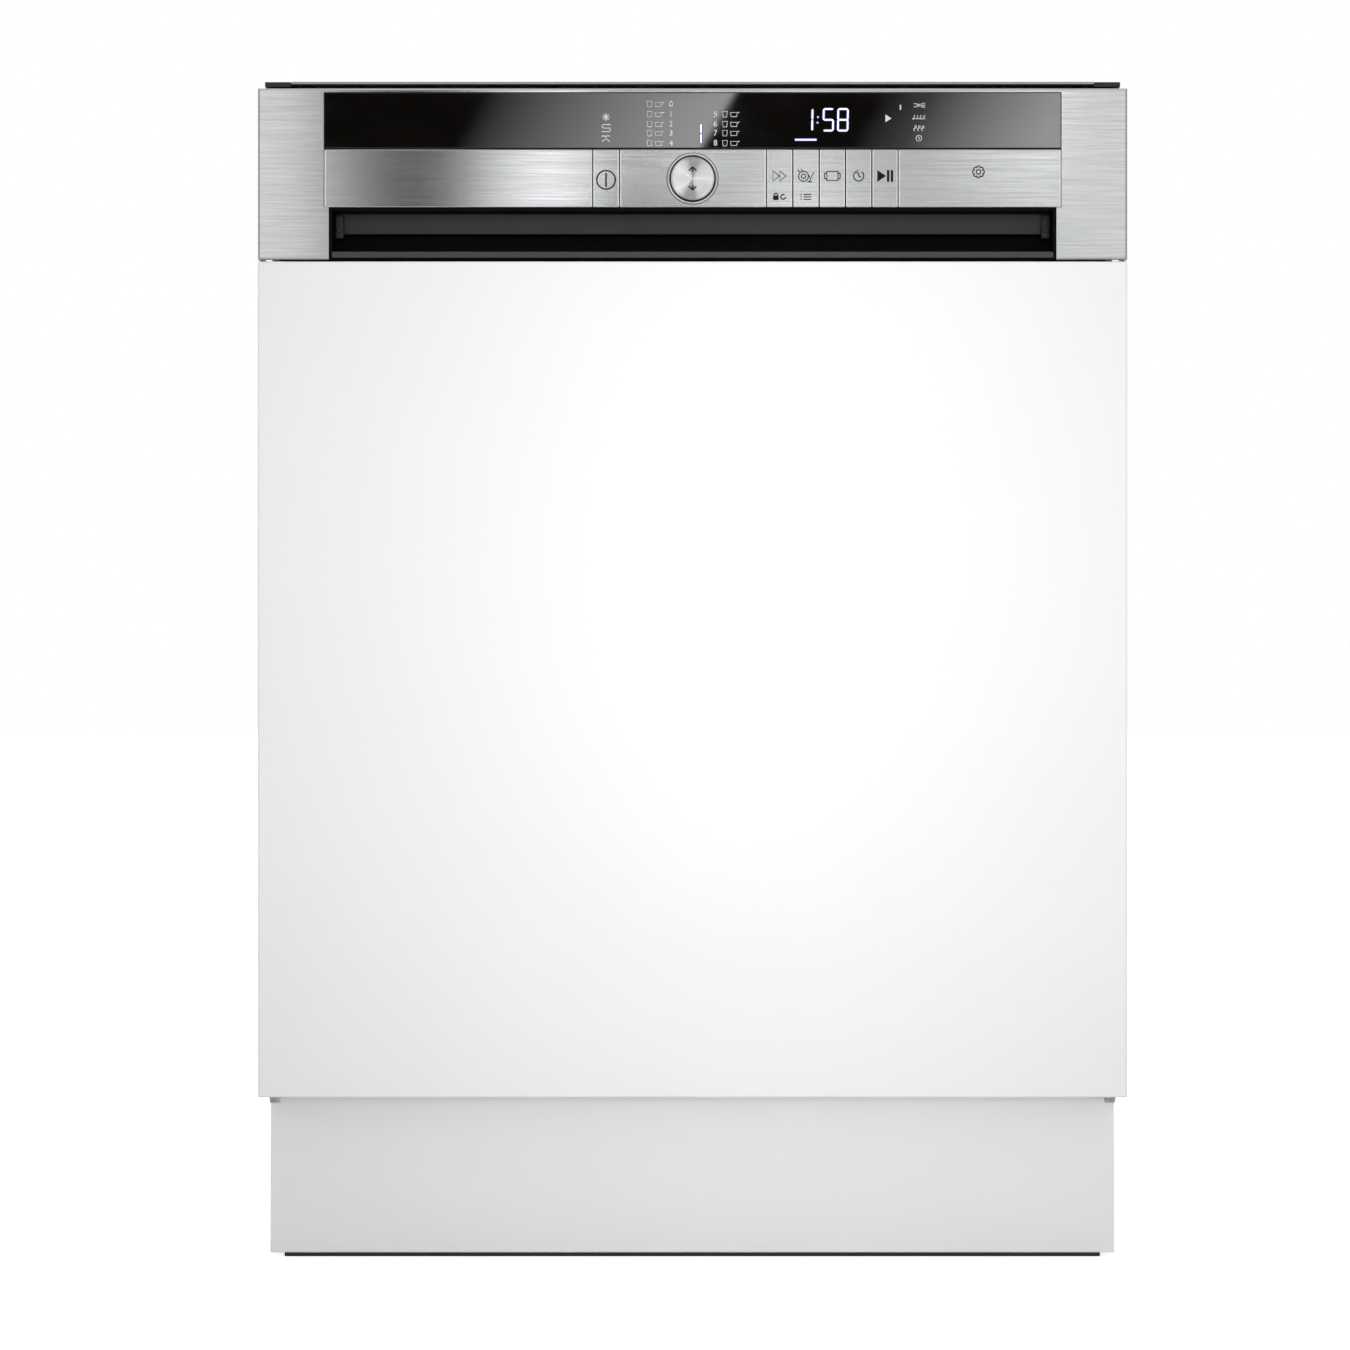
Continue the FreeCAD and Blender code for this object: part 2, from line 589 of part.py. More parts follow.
def connections():
    """The water inlet valve, the drain spigot and the mains inlet at the back."""
    valve = eased(block((S.inlet_x - 25, S.inlet_x + 25), (S.valve_rear - 34, S.valve_rear),
                        (S.inlet_z - 22, S.inlet_z + 24)), 4, (1, 0, 0))
    spigot = rod("y", S.inlet_radius, S.rear_most - S.valve_rear + 1, S.inlet_x, S.valve_rear - 1, S.inlet_z)
    inlet_bore, drain_bore, flange_radius, flange_thick = 8, 7.5, 17, 4
    valve_bore = rod("y", inlet_bore, 40, S.inlet_x, 250, S.inlet_z)
    keep(cut(fused([valve, spigot]), [valve_bore]), "water_inlet_valve")
    wall_inside = S.base_rear - S.base_wall
    flange = rod("y", flange_radius, flange_thick, S.drain_x, wall_inside - flange_thick - 0.5, S.drain_z)
    drain = rod("y", S.drain_radius, S.rear_most - 262, S.drain_x, 262, S.drain_z)
    keep(cut(fused([flange, drain]), [rod("y", drain_bore, 60, S.drain_x, 250, S.drain_z)]), "drain_spigot")
    rim, wall = 6, 4
    shell = block((S.socket_left, S.socket_right), (255, 283), (S.socket_low, S.socket_top))
    plate = block((S.socket_left - rim, S.socket_right + rim), (272, wall_inside - 0.2),
                  (S.socket_low - 5, S.socket_top + 5))
    cavity = block((S.socket_left + wall, S.socket_right - wall), (263, 290),
                   (S.socket_low + 5, S.socket_top - 5))
    keep(cut(fused([shell, plate]), [cavity]), "power_inlet")


def feed_pipe():
    """The pipe up the tub's back wall, with a nozzle for the upper rack and a fixed ceiling shower."""
    y, pipe_radius, pipe_long, ceiling, shower_low = 226, 9, 628, 776, 760
    upright = rod("z", pipe_radius, pipe_long, 0, y, S.tub_low + 2)
    nozzle = cut(rod("y", 13, 20, 0, y - 18, S.rack_pipe_z), [rod("y", 9, 14, 0, y - 20, S.rack_pipe_z)])
    across = rod("y", 8, y - S.arm_centre, 0, S.arm_centre, ceiling)
    shower = cone(16, 32, 10, 0, S.arm_centre, shower_low)
    neck = rod("z", 8, 8, 0, S.arm_centre, shower_low + 9)
    keep(fused([upright, nozzle, across, shower, neck]), "feed_pipe")


def spray_arm(name, low, reach, hub_low, hub_high, bore_low):
    """A rotating spray arm: a long blade with rounded ends, a hub with a bore and rows of jets."""
    bench = Bench(name)
    blade = bench.sketch("XY_Plane", low)
    centre = S.arm_centre
    rectangle(blade, (-reach, reach), (centre - S.blade_half, centre + S.blade_half))
    bench.pad(blade, S.blade_thick)
    bench.fillet(18.0, lambda edge: runs_along(edge, (0, 0, 1)))
    hub = bench.sketch("XY_Plane", hub_low)
    circle(hub, 0, centre, S.hub_radius)
    bench.pad(hub, hub_high - hub_low)
    bore = bench.sketch("XY_Plane", bore_low + 16)
    circle(bore, 0, centre, S.spigot_radius + S.running_gap)
    bench.pocket(bore, 16)
    for side in (-1, 1):
        jet = bench.sketch("XY_Plane", low + S.blade_thick)
        start = 44 if side > 0 else -reach + 24
        rectangle(jet, (start, start + 10), (centre + side * 8 - 1.5, centre + side * 8 + 1.5))
        cut_jet = bench.pocket(jet, 3)
        bench.row(cut_jet, jet, "H_Axis", reach - 74, 5)
    keep(bench.body, name)


# ---- the racks ----

def grid(name, role, offset, across, up, columns, rows):
    """A flat wire grid: a square-wire frame with evenly spaced wires both ways."""
    wire = S.wire
    bench = Bench(name)
    frame = bench.sketch(role, offset)
    rectangle(frame, across, up)
    rectangle(frame, (across[0] + wire, across[1] - wire), (up[0] + wire, up[1] - wire))
    bench.pad(frame, wire)
    wide, tall = across[1] - across[0], up[1] - up[0]
    pitch = (wide - wire) / (columns + 1)
    column = bench.sketch(role, offset)
    rectangle(column, (across[0] + pitch, across[0] + pitch + wire), up)
    bench.row(bench.pad(column, wire), column, "H_Axis", pitch * (columns - 1), columns)
    if rows:
        pitch = (tall - wire) / (rows + 1)
        line = bench.sketch(role, offset)
        rectangle(line, across, (up[0] + pitch, up[0] + pitch + wire))
        first = bench.pad(line, wire)
        if rows > 1:
            bench.row(first, line, "V_Axis", pitch * (rows - 1), rows)
    return bench.body


def comb(name, left, right, y, low, count):
    """A row of upright tines on a bar across the rack."""
    wire = S.wire
    bench = Bench(name)
    bar = bench.sketch("XZ_Plane", -y - wire)
    rectangle(bar, (left, right), (low, low + wire))
    bench.pad(bar, wire)
    tine = bench.sketch("XZ_Plane", -y - wire)
    rectangle(tine, (left, left + wire), (low, low + wire + S.tine_height))
    bench.row(bench.pad(tine, wire), tine, "H_Axis", right - left - wire, count)
    return bench.body


def basket(name, floor, rim, tall_rows):
    """The floor and the four walls of a rack, each a flat grid."""
    wire, half, front, back = S.wire, S.rack_half, S.rack_front, S.rack_back
    low = floor + wire
    return [
        grid(name + "_floor", "XY_Plane", floor, (-half, half), (front, back), 13, 9),
        grid(name + "_front", "XZ_Plane", -front - wire, (-half, half), (low, rim), 13, tall_rows),
        grid(name + "_back", "XZ_Plane", -back, (-half, half), (low, rim), 13, tall_rows),
        grid(name + "_left", "YZ_Plane", -half, (front + wire, back - wire), (low, rim), 9, tall_rows),
        grid(name + "_right", "YZ_Plane", half - wire, (front + wire, back - wire), (low, rim), 9, tall_rows),
    ]


def lower_rack():
    """The plate rack with its axle plates, and the wheels that it rolls on."""
    pieces = basket("low", S.low_floor, S.low_rim, 2)
    low = S.low_floor + S.wire
    for y in (60, 100, 140, 176):
        pieces.append(comb("low_comb_%d" % y, -236, 236, y, low, 16))
    pieces.append(comb("low_comb_front", -236, 40, -130, low, 10))
    centre = S.tub_low + 0.3 + S.wheel_radius
    for name, y in (("front", S.wheel_front_y), ("rear", S.wheel_rear_y)):
        plate = block((S.wheel_outer + 1, S.wheel_outer + 4), (y - 9, y + 9), (centre - 9, S.low_floor))
        axle = rod("x", S.axle_radius, 10, S.wheel_inner - 2, y, centre)
        pieces.append(pair(fused([plate, axle])))
        tyre = rod("x", S.wheel_radius, S.wheel_outer - S.wheel_inner, S.wheel_inner, y, centre)
        bore = rod("x", S.axle_radius + S.running_gap, 12, S.wheel_inner - 2, y, centre)
        dish = rod("x", 13, 2, S.wheel_inner - 0.5, y, centre)
        keep(pair(cut(tyre, [bore, dish])), "%s_wheels" % name)
    keep(group(pieces), "lower_rack")
    row = comb("fold_tine_row", -236, 40, S.fold_y, low + 1, 10)
    half = S.wire / 2
    pivot = rod("x", S.pivot_radius, 282, -239, S.fold_y + half, low + 1 + half)
    keep(fused([row, pivot]), "fold_tines")


def upper_rack():
    """The cup rack with its runners and the pipe under it, and the shelf that folds up at its side."""
    pieces = basket("high", S.high_floor, S.high_rim, 2)
    low = S.high_floor + S.wire
    for y in (-120, -20, 80):
        pieces.append(comb("high_comb_%d" % (y + 200), -130, 230, y, low, 12))
    runner = block((S.rack_half, S.tub_half - 7.5), (-S.rail_reach, S.rail_reach),
                   (S.rail_z - 8, S.rail_z + 8))
    pieces.append(pair(runner))
    keep(group(pieces), "upper_rack")
    pipe_rear, hub_low, spigot_low = 207.5, 457.5, 442
    pipe = rod("y", 8, pipe_rear - S.arm_centre, 0, S.arm_centre, S.rack_pipe_z)
    manifold = rod("z", 16, 20, 0, S.arm_centre, hub_low)
    spigot = rod("z", S.spigot_radius, 18, 0, S.arm_centre, spigot_low)
    keep(fused([pipe, manifold, spigot]), "rack_feed_pipe")
    left = S.wire + 1.1 - S.rack_half
    shelf = grid("cup_shelf_grid", "XY_Plane", S.shelf_z, (left, left + S.shelf_wide), (-150, 150), 2, 8)
    half = S.wire / 2
    pivot = rod("y", S.pivot_radius, 306, left + half, -153, S.shelf_z + half)
    keep(fused([shelf, pivot]), "cup_shelf")


def rack_rails():
    """The channels on the tub walls and the members that run in them."""
    low, high = S.rail_z - S.rail_half, S.rail_z + S.rail_half
    y = (-S.rail_reach, S.rail_reach)
    channel = cut(block((S.tub_half - 8, S.tub_half), y, (low, high)),
                  [block((S.tub_half - 9, S.tub_half - 2), (y[0] - 1, y[1] + 1), (low + 2, high - 2))])
    keep(pair(channel), "rack_rails")
    keep(pair(block((S.tub_half - 7, S.tub_half - 2.5), y, (low + 2.5, high - 2.5))), "rail_slides")


def cutlery_basket():
    """A plastic basket with six cells and a carrying handle over the middle."""
    x = (S.basket_left, S.basket_right)
    y = (S.basket_front, S.basket_rear)
    shell = block(x, y, (S.basket_low, S.basket_top - 22))
    cells = []
    wide, deep = (x[1] - x[0] - 2.5) / 3, (y[1] - y[0] - 2.5) / 2
    for column in range(3):
        for line in range(2):
            left, front = x[0] + 2.5 + wide * column, y[0] + 2.5 + deep * line
            cells.append(block((left, left + wide - 2.5), (front, front + deep - 2.5),
                               (S.basket_low + 2.5, S.basket_top)))
    middle = (y[0] + y[1]) / 2
    arch = cut(block(x, (middle - 4, middle + 4), (S.basket_top - 24, S.basket_top + 10)),
               [block((x[0] + 6, x[1] - 6), (middle - 5, middle + 5), (S.basket_top - 25, S.basket_top + 2))])
    keep(fused([cut(shell, cells), arch]), "cutlery_basket")


# ---- the door ----

def door_shell():
    """The furniture panel, the steel skin behind it and the steel pan that faces the tub."""
    panel = front_plate("furniture_panel", (-S.front_half, S.front_half),
                        (S.console_face, S.console_face + S.panel_thick), (S.panel_low, S.panel_top))
    panel.fillet(S.edge_round, lambda edge: edge.BoundBox.YMax < S.console_face.value + 0.01)
    keep(panel.body, "furniture_panel")
    back = S.console_face + S.panel_thick
    steel = S.steel
    skin = cut(block((-S.skin_half, S.skin_half), (back, S.skin_flange), (S.door_low, S.panel_top)),
               [block((steel - S.skin_half, S.skin_half - steel), (back + steel, S.skin_flange + 1),
                      (S.door_low - 1, S.panel_top + 1))])
    keep(skin, "outer_door_panel")
    pan = block((-S.pan_half, S.pan_half), (S.pan_front, S.inner_face), (S.door_low, S.door_top))
    inside = block((steel - S.pan_half, S.pan_half - steel), (S.pan_front - 1, S.inner_face - steel),
                   (S.door_low + steel, S.door_top - steel))
    window = block((S.box_left - 0.2, S.box_right + 0.2), (S.inner_face - 3, S.inner_face + 1),
                   (S.box_low - 0.2, S.box_top + 0.2))
    slot = block((-14, 14), (S.inner_face - 3, S.inner_face + 1), (S.latch_z - 8, S.latch_z + 6))
    keep(cut(pan, [inside, window, slot]), "inner_door_panel")


def fascia():
    """The brushed steel frame round the display, the keys and the grip recess."""
    bench = Bench("console_fascia")
    half, low, top = S.front_half, S.console_low, S.console_top
    frame = bench.sketch("XZ_Plane", -S.fascia_back)
    right_side = [(S.window_half, S.window_top), (S.window_half, S.strip_low), (S.grip_half, S.strip_low),
                  (S.grip_half, low), (half, low), (half, top)]
    left_side = [(-across, up) for across, up in reversed(right_side)]
    outline(frame, right_side + left_side)
    bench.pad(frame, S.fascia_back - S.console_face)
    bench.fillet(S.edge_round, lambda edge: edge.BoundBox.YMax < S.console_face.value + 0.01
                 and (edge.BoundBox.ZMin > top.value - 0.01 or abs(edge.CenterOfMass.x) > half.value - 0.01
                      or edge.BoundBox.ZMax < low.value + 0.01))
    skirt = bench.sketch("XZ_Plane", -S.skirt_back)
    right_skirt = [(half - 1.5, top - 0.8), (half - 1.5, low), (half - 0.2, low), (half - 0.2, top - 0.2)]
    left_skirt = [(-across, up) for across, up in reversed(right_skirt)]
    outline(skirt, right_skirt + left_skirt)
    bench.pad(skirt, S.skirt_back - S.fascia_back + 0.5)
    keep(bench.body, "console_fascia")


def key_places():
    """The name, the left edge and the right edge of each key."""
    gap = S.fit_gap
    places = [("power_key", S.power_left + gap, S.power_right - gap)]
    names = ("tablet_key", "load_key", "tray_key", "delay_key", "start_key")
    for number, name in enumerate(names):
        left = S.keys_left + S.key_pitch * number
        places.append((name, left + gap, left + S.key_pitch - gap))
    return places


def keys():
    """Six metal keys, each with a stem that reaches back through the console housing."""
    for name, left, right in key_places():
        bench = front_plate(name, (left, right), (S.strip_face, S.strip_face + S.key_thick),
                            (S.strip_low, S.strip_top))
        bench.fillet(0.6, lambda edge: edge.BoundBox.YMax < S.strip_face.value + 0.01)
        stem = bench.sketch("XZ_Plane", -S.stem_back)
        circle(stem, (left + right) / 2, S.rocker_z, S.stem_radius)
        bench.pad(stem, S.stem_back - S.strip_face - S.key_thick + 0.5)
        keep(bench.body, name)


def control_strips():
    """The three fixed metal segments between and beside the keys."""
    y = (S.strip_face, S.fascia_back)
    z = (S.strip_low, S.strip_top)
    ends = S.keys_left + 5 * S.key_pitch
    edges = [(S.fit_gap - S.window_half, S.power_left), (S.power_right, S.keys_left),
             (ends, S.window_half - S.fit_gap)]
    segments = [eased(block(x, y, z), 0.6, None) for x in edges]
    segments[1] = cut(segments[1], [rod("y", S.rocker_hole, 12, 0, S.strip_face - 2, S.rocker_z)])
    keep(group(segments), "control_strips")


def program_rocker():
    """The round rocker that is pressed at its top or its bottom edge, on a stem through the console."""
    bench = Bench("rocker_disc")
    disc = bench.sketch("XZ_Plane", -(S.rocker_pivot - 6))
    circle(disc, 0, S.rocker_z, S.rocker_radius)
    bench.pad(disc, S.rocker_pivot - 6 + S.rear_most)
    bench.fillet(1.2, lambda edge: edge.BoundBox.YMax < 0.01 - S.rear_most.value)
    stem = bench.sketch("XZ_Plane", -(S.rocker_pivot + 4))
    circle(stem, 0, S.rocker_z, 3)
    bench.pad(stem, 10.5)
    pivot = rod("x", 1.2, 13, -6.5, S.rocker_pivot, S.rocker_z)
    keep(fused([bench.body, pivot]), "program_rocker")


def display():
    """The dark glass and the control module behind it."""
    gap = S.fit_gap
    glass = front_plate("display_glass", (gap - S.window_half, S.window_half - gap),
                        (S.glass_face, S.fascia_back), (S.glass_low, S.window_top - gap))
    glass.fillet(0.4, lambda edge: edge.BoundBox.YMax < S.glass_face.value + 0.01)
    keep(glass.body, "display_glass")
    board = block((-200, 240), (-267, -265), (735, 800))
    case = eased(block((-196, 236), (-265, -247), (738, 797)), 3, (0, 1, 0))
    keep(fused([board, case]), "control_module")


def console_housing():
    """The plastic carrier behind the console, open at the back, with holes for the stems."""
    wall = S.housing_wall
    outer = block((-S.housing_half, S.housing_half), (S.fascia_back, S.housing_back),
                  (S.console_low + 0.8, S.housing_top))
    inner = block((wall - S.housing_half, S.housing_half - wall), (S.fascia_back + wall, S.housing_back + 1),
                  (S.strip_low + 3, S.housing_top - wall))
    recess = block((-S.grip_half - 0.4, S.grip_half + 0.4), (S.fascia_back - 1, S.housing_back + 1),
                   (S.console_low, S.strip_low + 1))
    holes = [rod("y", S.stem_radius + S.running_gap, 8, (left + right) / 2, S.fascia_back - 2, S.rocker_z)
             for name, left, right in key_places()]
    holes.append(rod("y", 4.5, 8, 0, S.fascia_back - 2, S.rocker_z))
    keep(cut(outer, [inner, recess] + holes), "console_housing")


def grip_recess():
    """The dark finger recess under the keys, deeper below its ledge, with a grey lip along its foot."""
    half = S.grip_half
    outer = block((-half, half), (S.fascia_back, S.grip_back + 2), (S.console_low + 0.3, S.strip_low + 0.6))
    upper = block((2 - half, half - 2), (S.fascia_back - 1, S.ledge_face), (S.grip_low, S.grip_high))
    lower = block((2 - half, half - 2), (S.ledge_face - 1, S.grip_back), (S.grip_low, S.grip_ledge))
    lip = eased(block((1.5 - half, half - 1.5), (S.fascia_back - 2.5, S.fascia_back),
                      (S.console_low + 0.8, S.grip_low)), 1.0, (1, 0, 0))
    keep(fused([cut(outer, [upper, lower]), lip]), "handle_recess")


def latch():
    """The spring-loaded catch in the door and the strike under the tub's ceiling."""
    catch = eased(block((-8, 8), (-246, -232), (S.latch_z + 2.5, S.latch_z + 12)), 1.5, (1, 0, 0))
    keep(catch, "latch_catch")
    strike = fused([block((-20, 20), (-219, -180), (S.tub_top - 1.6, S.tub_top)),
                    block((-9, 9), (-219, -214), (S.latch_z - 1.5, S.tub_top)),
                    block((-9, 9), (-246.4, -214), (S.latch_z - 1.5, S.latch_z + 1.5))])
    keep(strike, "door_strike")


def dispenser():
    """The detergent box in the inner door, its sliding lid and the flap over the rinse aid filler."""
    box = eased(block((S.box_left, S.box_right), (S.box_back, S.box_face), (S.box_low, S.box_top)),
                3, (0, 1, 0))
    cup = eased(block((S.cup_left, S.cup_right), (S.box_back + 4, S.box_face + 1),
                      (S.cup_low, S.cup_top)), 6, (0, 1, 0))
    filler = rod("y", 15, 26, S.cap_x, S.box_face - 25, S.cap_z)
    keep(cut(box, [cup, filler]), "dispenser_housing")
    lid = front_plate("detergent_lid", (S.cup_left - 4, S.cup_right + 4),
                      (S.box_face + 0.3, S.box_face + 3), (S.cup_low - 4, S.cup_top + 4))
    thumb = lid.sketch("XZ_Plane", -(S.box_face + 5))
    rectangle(thumb, (S.cup_left + 10, S.cup_right - 10), (S.cup_top - 8, S.cup_top - 4))
    lid.pad(thumb, 2.5)
    keep(lid.body, "detergent_lid")
    cap = Bench("rinse_cap_disc")
    disc = cap.sketch("XZ_Plane", -(S.box_face + 3))
    circle(disc, S.cap_x, S.cap_z, S.cap_radius)
    cap.pad(disc, 2.7)
    plug = cap.sketch("XZ_Plane", -(S.box_face + 0.5))
    circle(plug, S.cap_x, S.cap_z, 13)
    cap.pad(plug, 3)
    hinge_y, hinge_z, reach = S.box_face + 1.5, S.cap_z - S.cap_radius - 1, 10
    pin = rod("x", 1, 2 * reach, S.cap_x - reach, hinge_y, hinge_z)
    lug = block((S.cap_x - 6, S.cap_x + 6), (hinge_y - 0.9, hinge_y + 0.9), (hinge_z, hinge_z + 4))
    keep(fused([cap.body, pin, lug]), "rinse_aid_cap")


def check(things):
    """Stops if any object of the document failed or a sub-part has no valid shape."""
    for thing in DOC.Objects:
        if "Invalid" in thing.State or "Error" in thing.State:
            raise ValueError("%s failed: %s" % (thing.Name, thing.State))
    for thing in things:
        if thing.Shape.isNull() or not thing.Shape.isValid():
            raise ValueError("%s has no valid shape" % thing.Label)


def build():
    """Makes every sub-part in turn."""
    base_tray()
    tub()
    casing()
    worktop_fixings()
    plinth()
    foot("foot_front_left", -S.foot_x, S.foot_front_y)
    foot("foot_front_right", S.foot_x, S.foot_front_y)
    foot("foot_rear", 0, S.foot_rear_y)
    seals()
    hinges()
    sump()
    filters()
    softener()
    circulation_pump()
    connections()
    feed_pipe()
    spray_arm("lower_spray_arm", S.low_arm_z, S.low_arm_reach, S.low_arm_z - 2, S.low_arm_z + 14,
              S.low_arm_z - 4)
    spray_arm("upper_spray_arm", S.high_arm_z, S.high_arm_reach, S.high_arm_z - 2, S.high_arm_z + 18,
              S.high_arm_z + 3)
    lower_rack()
    upper_rack()
    rack_rails()
    cutlery_basket()
    door_shell()
    fascia()
    keys()
    control_strips()
    program_rocker()
    display()
    console_housing()
    grip_recess()
    latch()
    dispenser()


build()
DOC.recompute()
check(NODES)
os.makedirs("parts", exist_ok=True)
for node in NODES:
    node.Shape.exportStep(os.path.join("parts", node.Label + ".step"))
    print("%-20s %2d solids %10.1f mm3" % (node.Label, len(node.Shape.Solids), node.Shape.Volume))
print("%d sub-parts" % len(NODES))
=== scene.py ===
"""The looks of a built-in dishwasher: brushed console, white door panel, steel tub and racks. Metres."""

import logging
import math
from dataclasses import dataclass, field
from enum import Enum

import bmesh
import bpy
from mathutils import Euler, Matrix, Vector


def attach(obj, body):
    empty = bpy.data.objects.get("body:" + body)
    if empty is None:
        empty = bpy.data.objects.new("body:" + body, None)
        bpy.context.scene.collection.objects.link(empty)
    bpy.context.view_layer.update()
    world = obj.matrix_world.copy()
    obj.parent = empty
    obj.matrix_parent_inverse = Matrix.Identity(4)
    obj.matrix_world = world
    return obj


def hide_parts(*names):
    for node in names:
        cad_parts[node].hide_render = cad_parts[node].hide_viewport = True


LOG = logging.getLogger("dishwasher")
MM = 0.001
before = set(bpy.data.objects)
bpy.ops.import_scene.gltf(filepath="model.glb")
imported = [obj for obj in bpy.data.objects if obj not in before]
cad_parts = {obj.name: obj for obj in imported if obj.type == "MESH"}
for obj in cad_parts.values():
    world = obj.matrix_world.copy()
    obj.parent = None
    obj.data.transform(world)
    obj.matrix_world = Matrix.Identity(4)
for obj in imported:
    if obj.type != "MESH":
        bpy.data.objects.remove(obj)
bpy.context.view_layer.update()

Triple = tuple[float, float, float]
Pair = tuple[float, float]


class Grain(Enum):
    """The way a sheet's brushing runs, as the stretch of its noise along X, Y and Z."""

    ALONG_X = (22.0, 900.0, 1500.0)
    ALONG_Y = (900.0, 22.0, 900.0)
    ALONG_Z = (900.0, 900.0, 22.0)
    EVEN = (260.0, 260.0, 260.0)


class Axis(Enum):
    """A direction for bars, discs and turned parts."""

    X = Vector((1, 0, 0))
    Y = Vector((0, 1, 0))
    Z = Vector((0, 0, 1))

    @property
    def turn(self) -> Matrix:
        """The rotation that lays a shape made along Z onto this axis."""
        return Vector((0, 0, 1)).rotation_difference(self.value).to_matrix().to_4x4()


# ---- finishes ----

class Recipe:
    """The node tree of one material while it is put together."""

    def __init__(self, name: str, bare: bool = False) -> None:
        """Starts a material with its own Principled shader, or with none if it is bare.

        Args:
            name: the material's name.
            bare: True if the tree starts empty.
        """
        self.material = bpy.data.materials.new(name)
        self.material.use_nodes = True
        self.tree = self.material.node_tree
        self.shader = self.tree.nodes["Principled BSDF"]
        if bare:
            self.tree.nodes.clear()

    def set(self, **values: float | Triple) -> None:
        """Sets plain values on the shader, with underscores for the spaces in socket names.

        Args:
            values: socket name to number or colour.
        """
        for name, value in values.items():
            socket = self.shader.inputs[name.replace("_", " ")]
            socket.default_value = (*value, 1.0) if isinstance(value, tuple) else value

    def node(self, kind: str, inputs: dict[str | int, object] | None = None,
             **settings: object) -> bpy.types.Node:
        """Adds a node.

        Args:
            kind: the node type without its ShaderNode prefix.
            inputs: socket name or number to a value or to another node's output.
            settings: the node's own properties.

        Returns:
            The new node.
        """
        made = self.tree.nodes.new("ShaderNode" + kind)
        for name, value in settings.items():
            setattr(made, name, value)
        for name, value in (inputs or {}).items():
            if isinstance(value, bpy.types.NodeSocket):
                self.tree.links.new(value, made.inputs[name])
            else:
                made.inputs[name].default_value = value
        return made

    def place(self, stretch: Triple, centre: Triple = (0.0, 0.0, 0.0)) -> bpy.types.NodeSocket:
        """Object coordinates, moved so that centre is at zero and then stretched.

        Args:
            stretch: the scale along X, Y and Z.
            centre: the point, in metres, that comes to lie at zero.

        Returns:
            The coordinates.
        """
        source = self.node("TexCoord").outputs["Object"]
        shift = tuple(-along * scale for along, scale in zip(centre, stretch))
        mapped = self.node("Mapping", {"Vector": source, "Scale": stretch, "Location": shift})
        return mapped.outputs["Vector"]

    def noise(self, stretch: Triple, detail: float = 4.0, rough: float = 0.6) -> bpy.types.NodeSocket:
        """A noise value on object coordinates.

        Args:
            stretch: the scale along X, Y and Z.
            detail: how many octaves.
            rough: the weight of the finer octaves.

        Returns:
            The noise value.
        """
        made = self.node("TexNoise", {"Vector": self.place(stretch), "Scale": 1.0, "Detail": detail,
                                      "Roughness": rough})
        return made.outputs["Fac"]

    def spread(self, value: bpy.types.NodeSocket, low: float, high: float,
               start: float = 0.3, end: float = 0.7) -> bpy.types.NodeSocket:
        """Maps a value from a start-to-end range onto low to high.

        Args:
            value: what is mapped.
            low: the result at the start.
            high: the result at the end.
            start: the value that gives low.
            end: the value that gives high.

        Returns:
            The mapped value.
        """
        made = self.node("MapRange", {"Value": value, "From Min": start, "From Max": end,
                                      "To Min": low, "To Max": high})
        return made.outputs["Result"]

    def maths(self, operation: str, *values: object) -> bpy.types.NodeSocket:
        """One arithmetic step on values or sockets."""
        return self.node("Math", dict(enumerate(values)), operation=operation).outputs[0]

    def tint(self, share: bpy.types.NodeSocket, dark: Triple, light: Triple) -> None:
        """Colours the shader between two colours by a share from 0 to 1."""
        mix = self.node("Mix", {0: share, 6: (*dark, 1.0), 7: (*light, 1.0)}, data_type="RGBA")
        self.tree.links.new(mix.outputs[2], self.shader.inputs["Base Color"])

    def rough(self, value: bpy.types.NodeSocket) -> None:
        """Drives the shader's roughness."""
        self.tree.links.new(value, self.shader.inputs["Roughness"])

    def bump(self, height: bpy.types.NodeSocket, depth: float, strength: float = 1.0) -> None:
        """Raises the surface by a height times a depth in metres."""
        made = self.node("Bump", {"Height": height, "Distance": depth, "Strength": strength})
        self.tree.links.new(made.outputs["Normal"], self.shader.inputs["Normal"])


@dataclass(frozen=True)
class Finish:
    """A surface finish that knows how to make its material."""

    name: str
    colour: Triple

    def recipe(self) -> Recipe:
        """The nodes of this finish. Each kind of finish writes its own."""
        raise NotImplementedError

    def material(self) -> bpy.types.Material:
        """The finish's material, made once."""
        return bpy.data.materials.get(self.name) or self.recipe().material

    def scaled(self, share: float) -> Triple:
        """The finish's colour times a share."""
        return tuple(min(1.0, part * share) for part in self.colour)


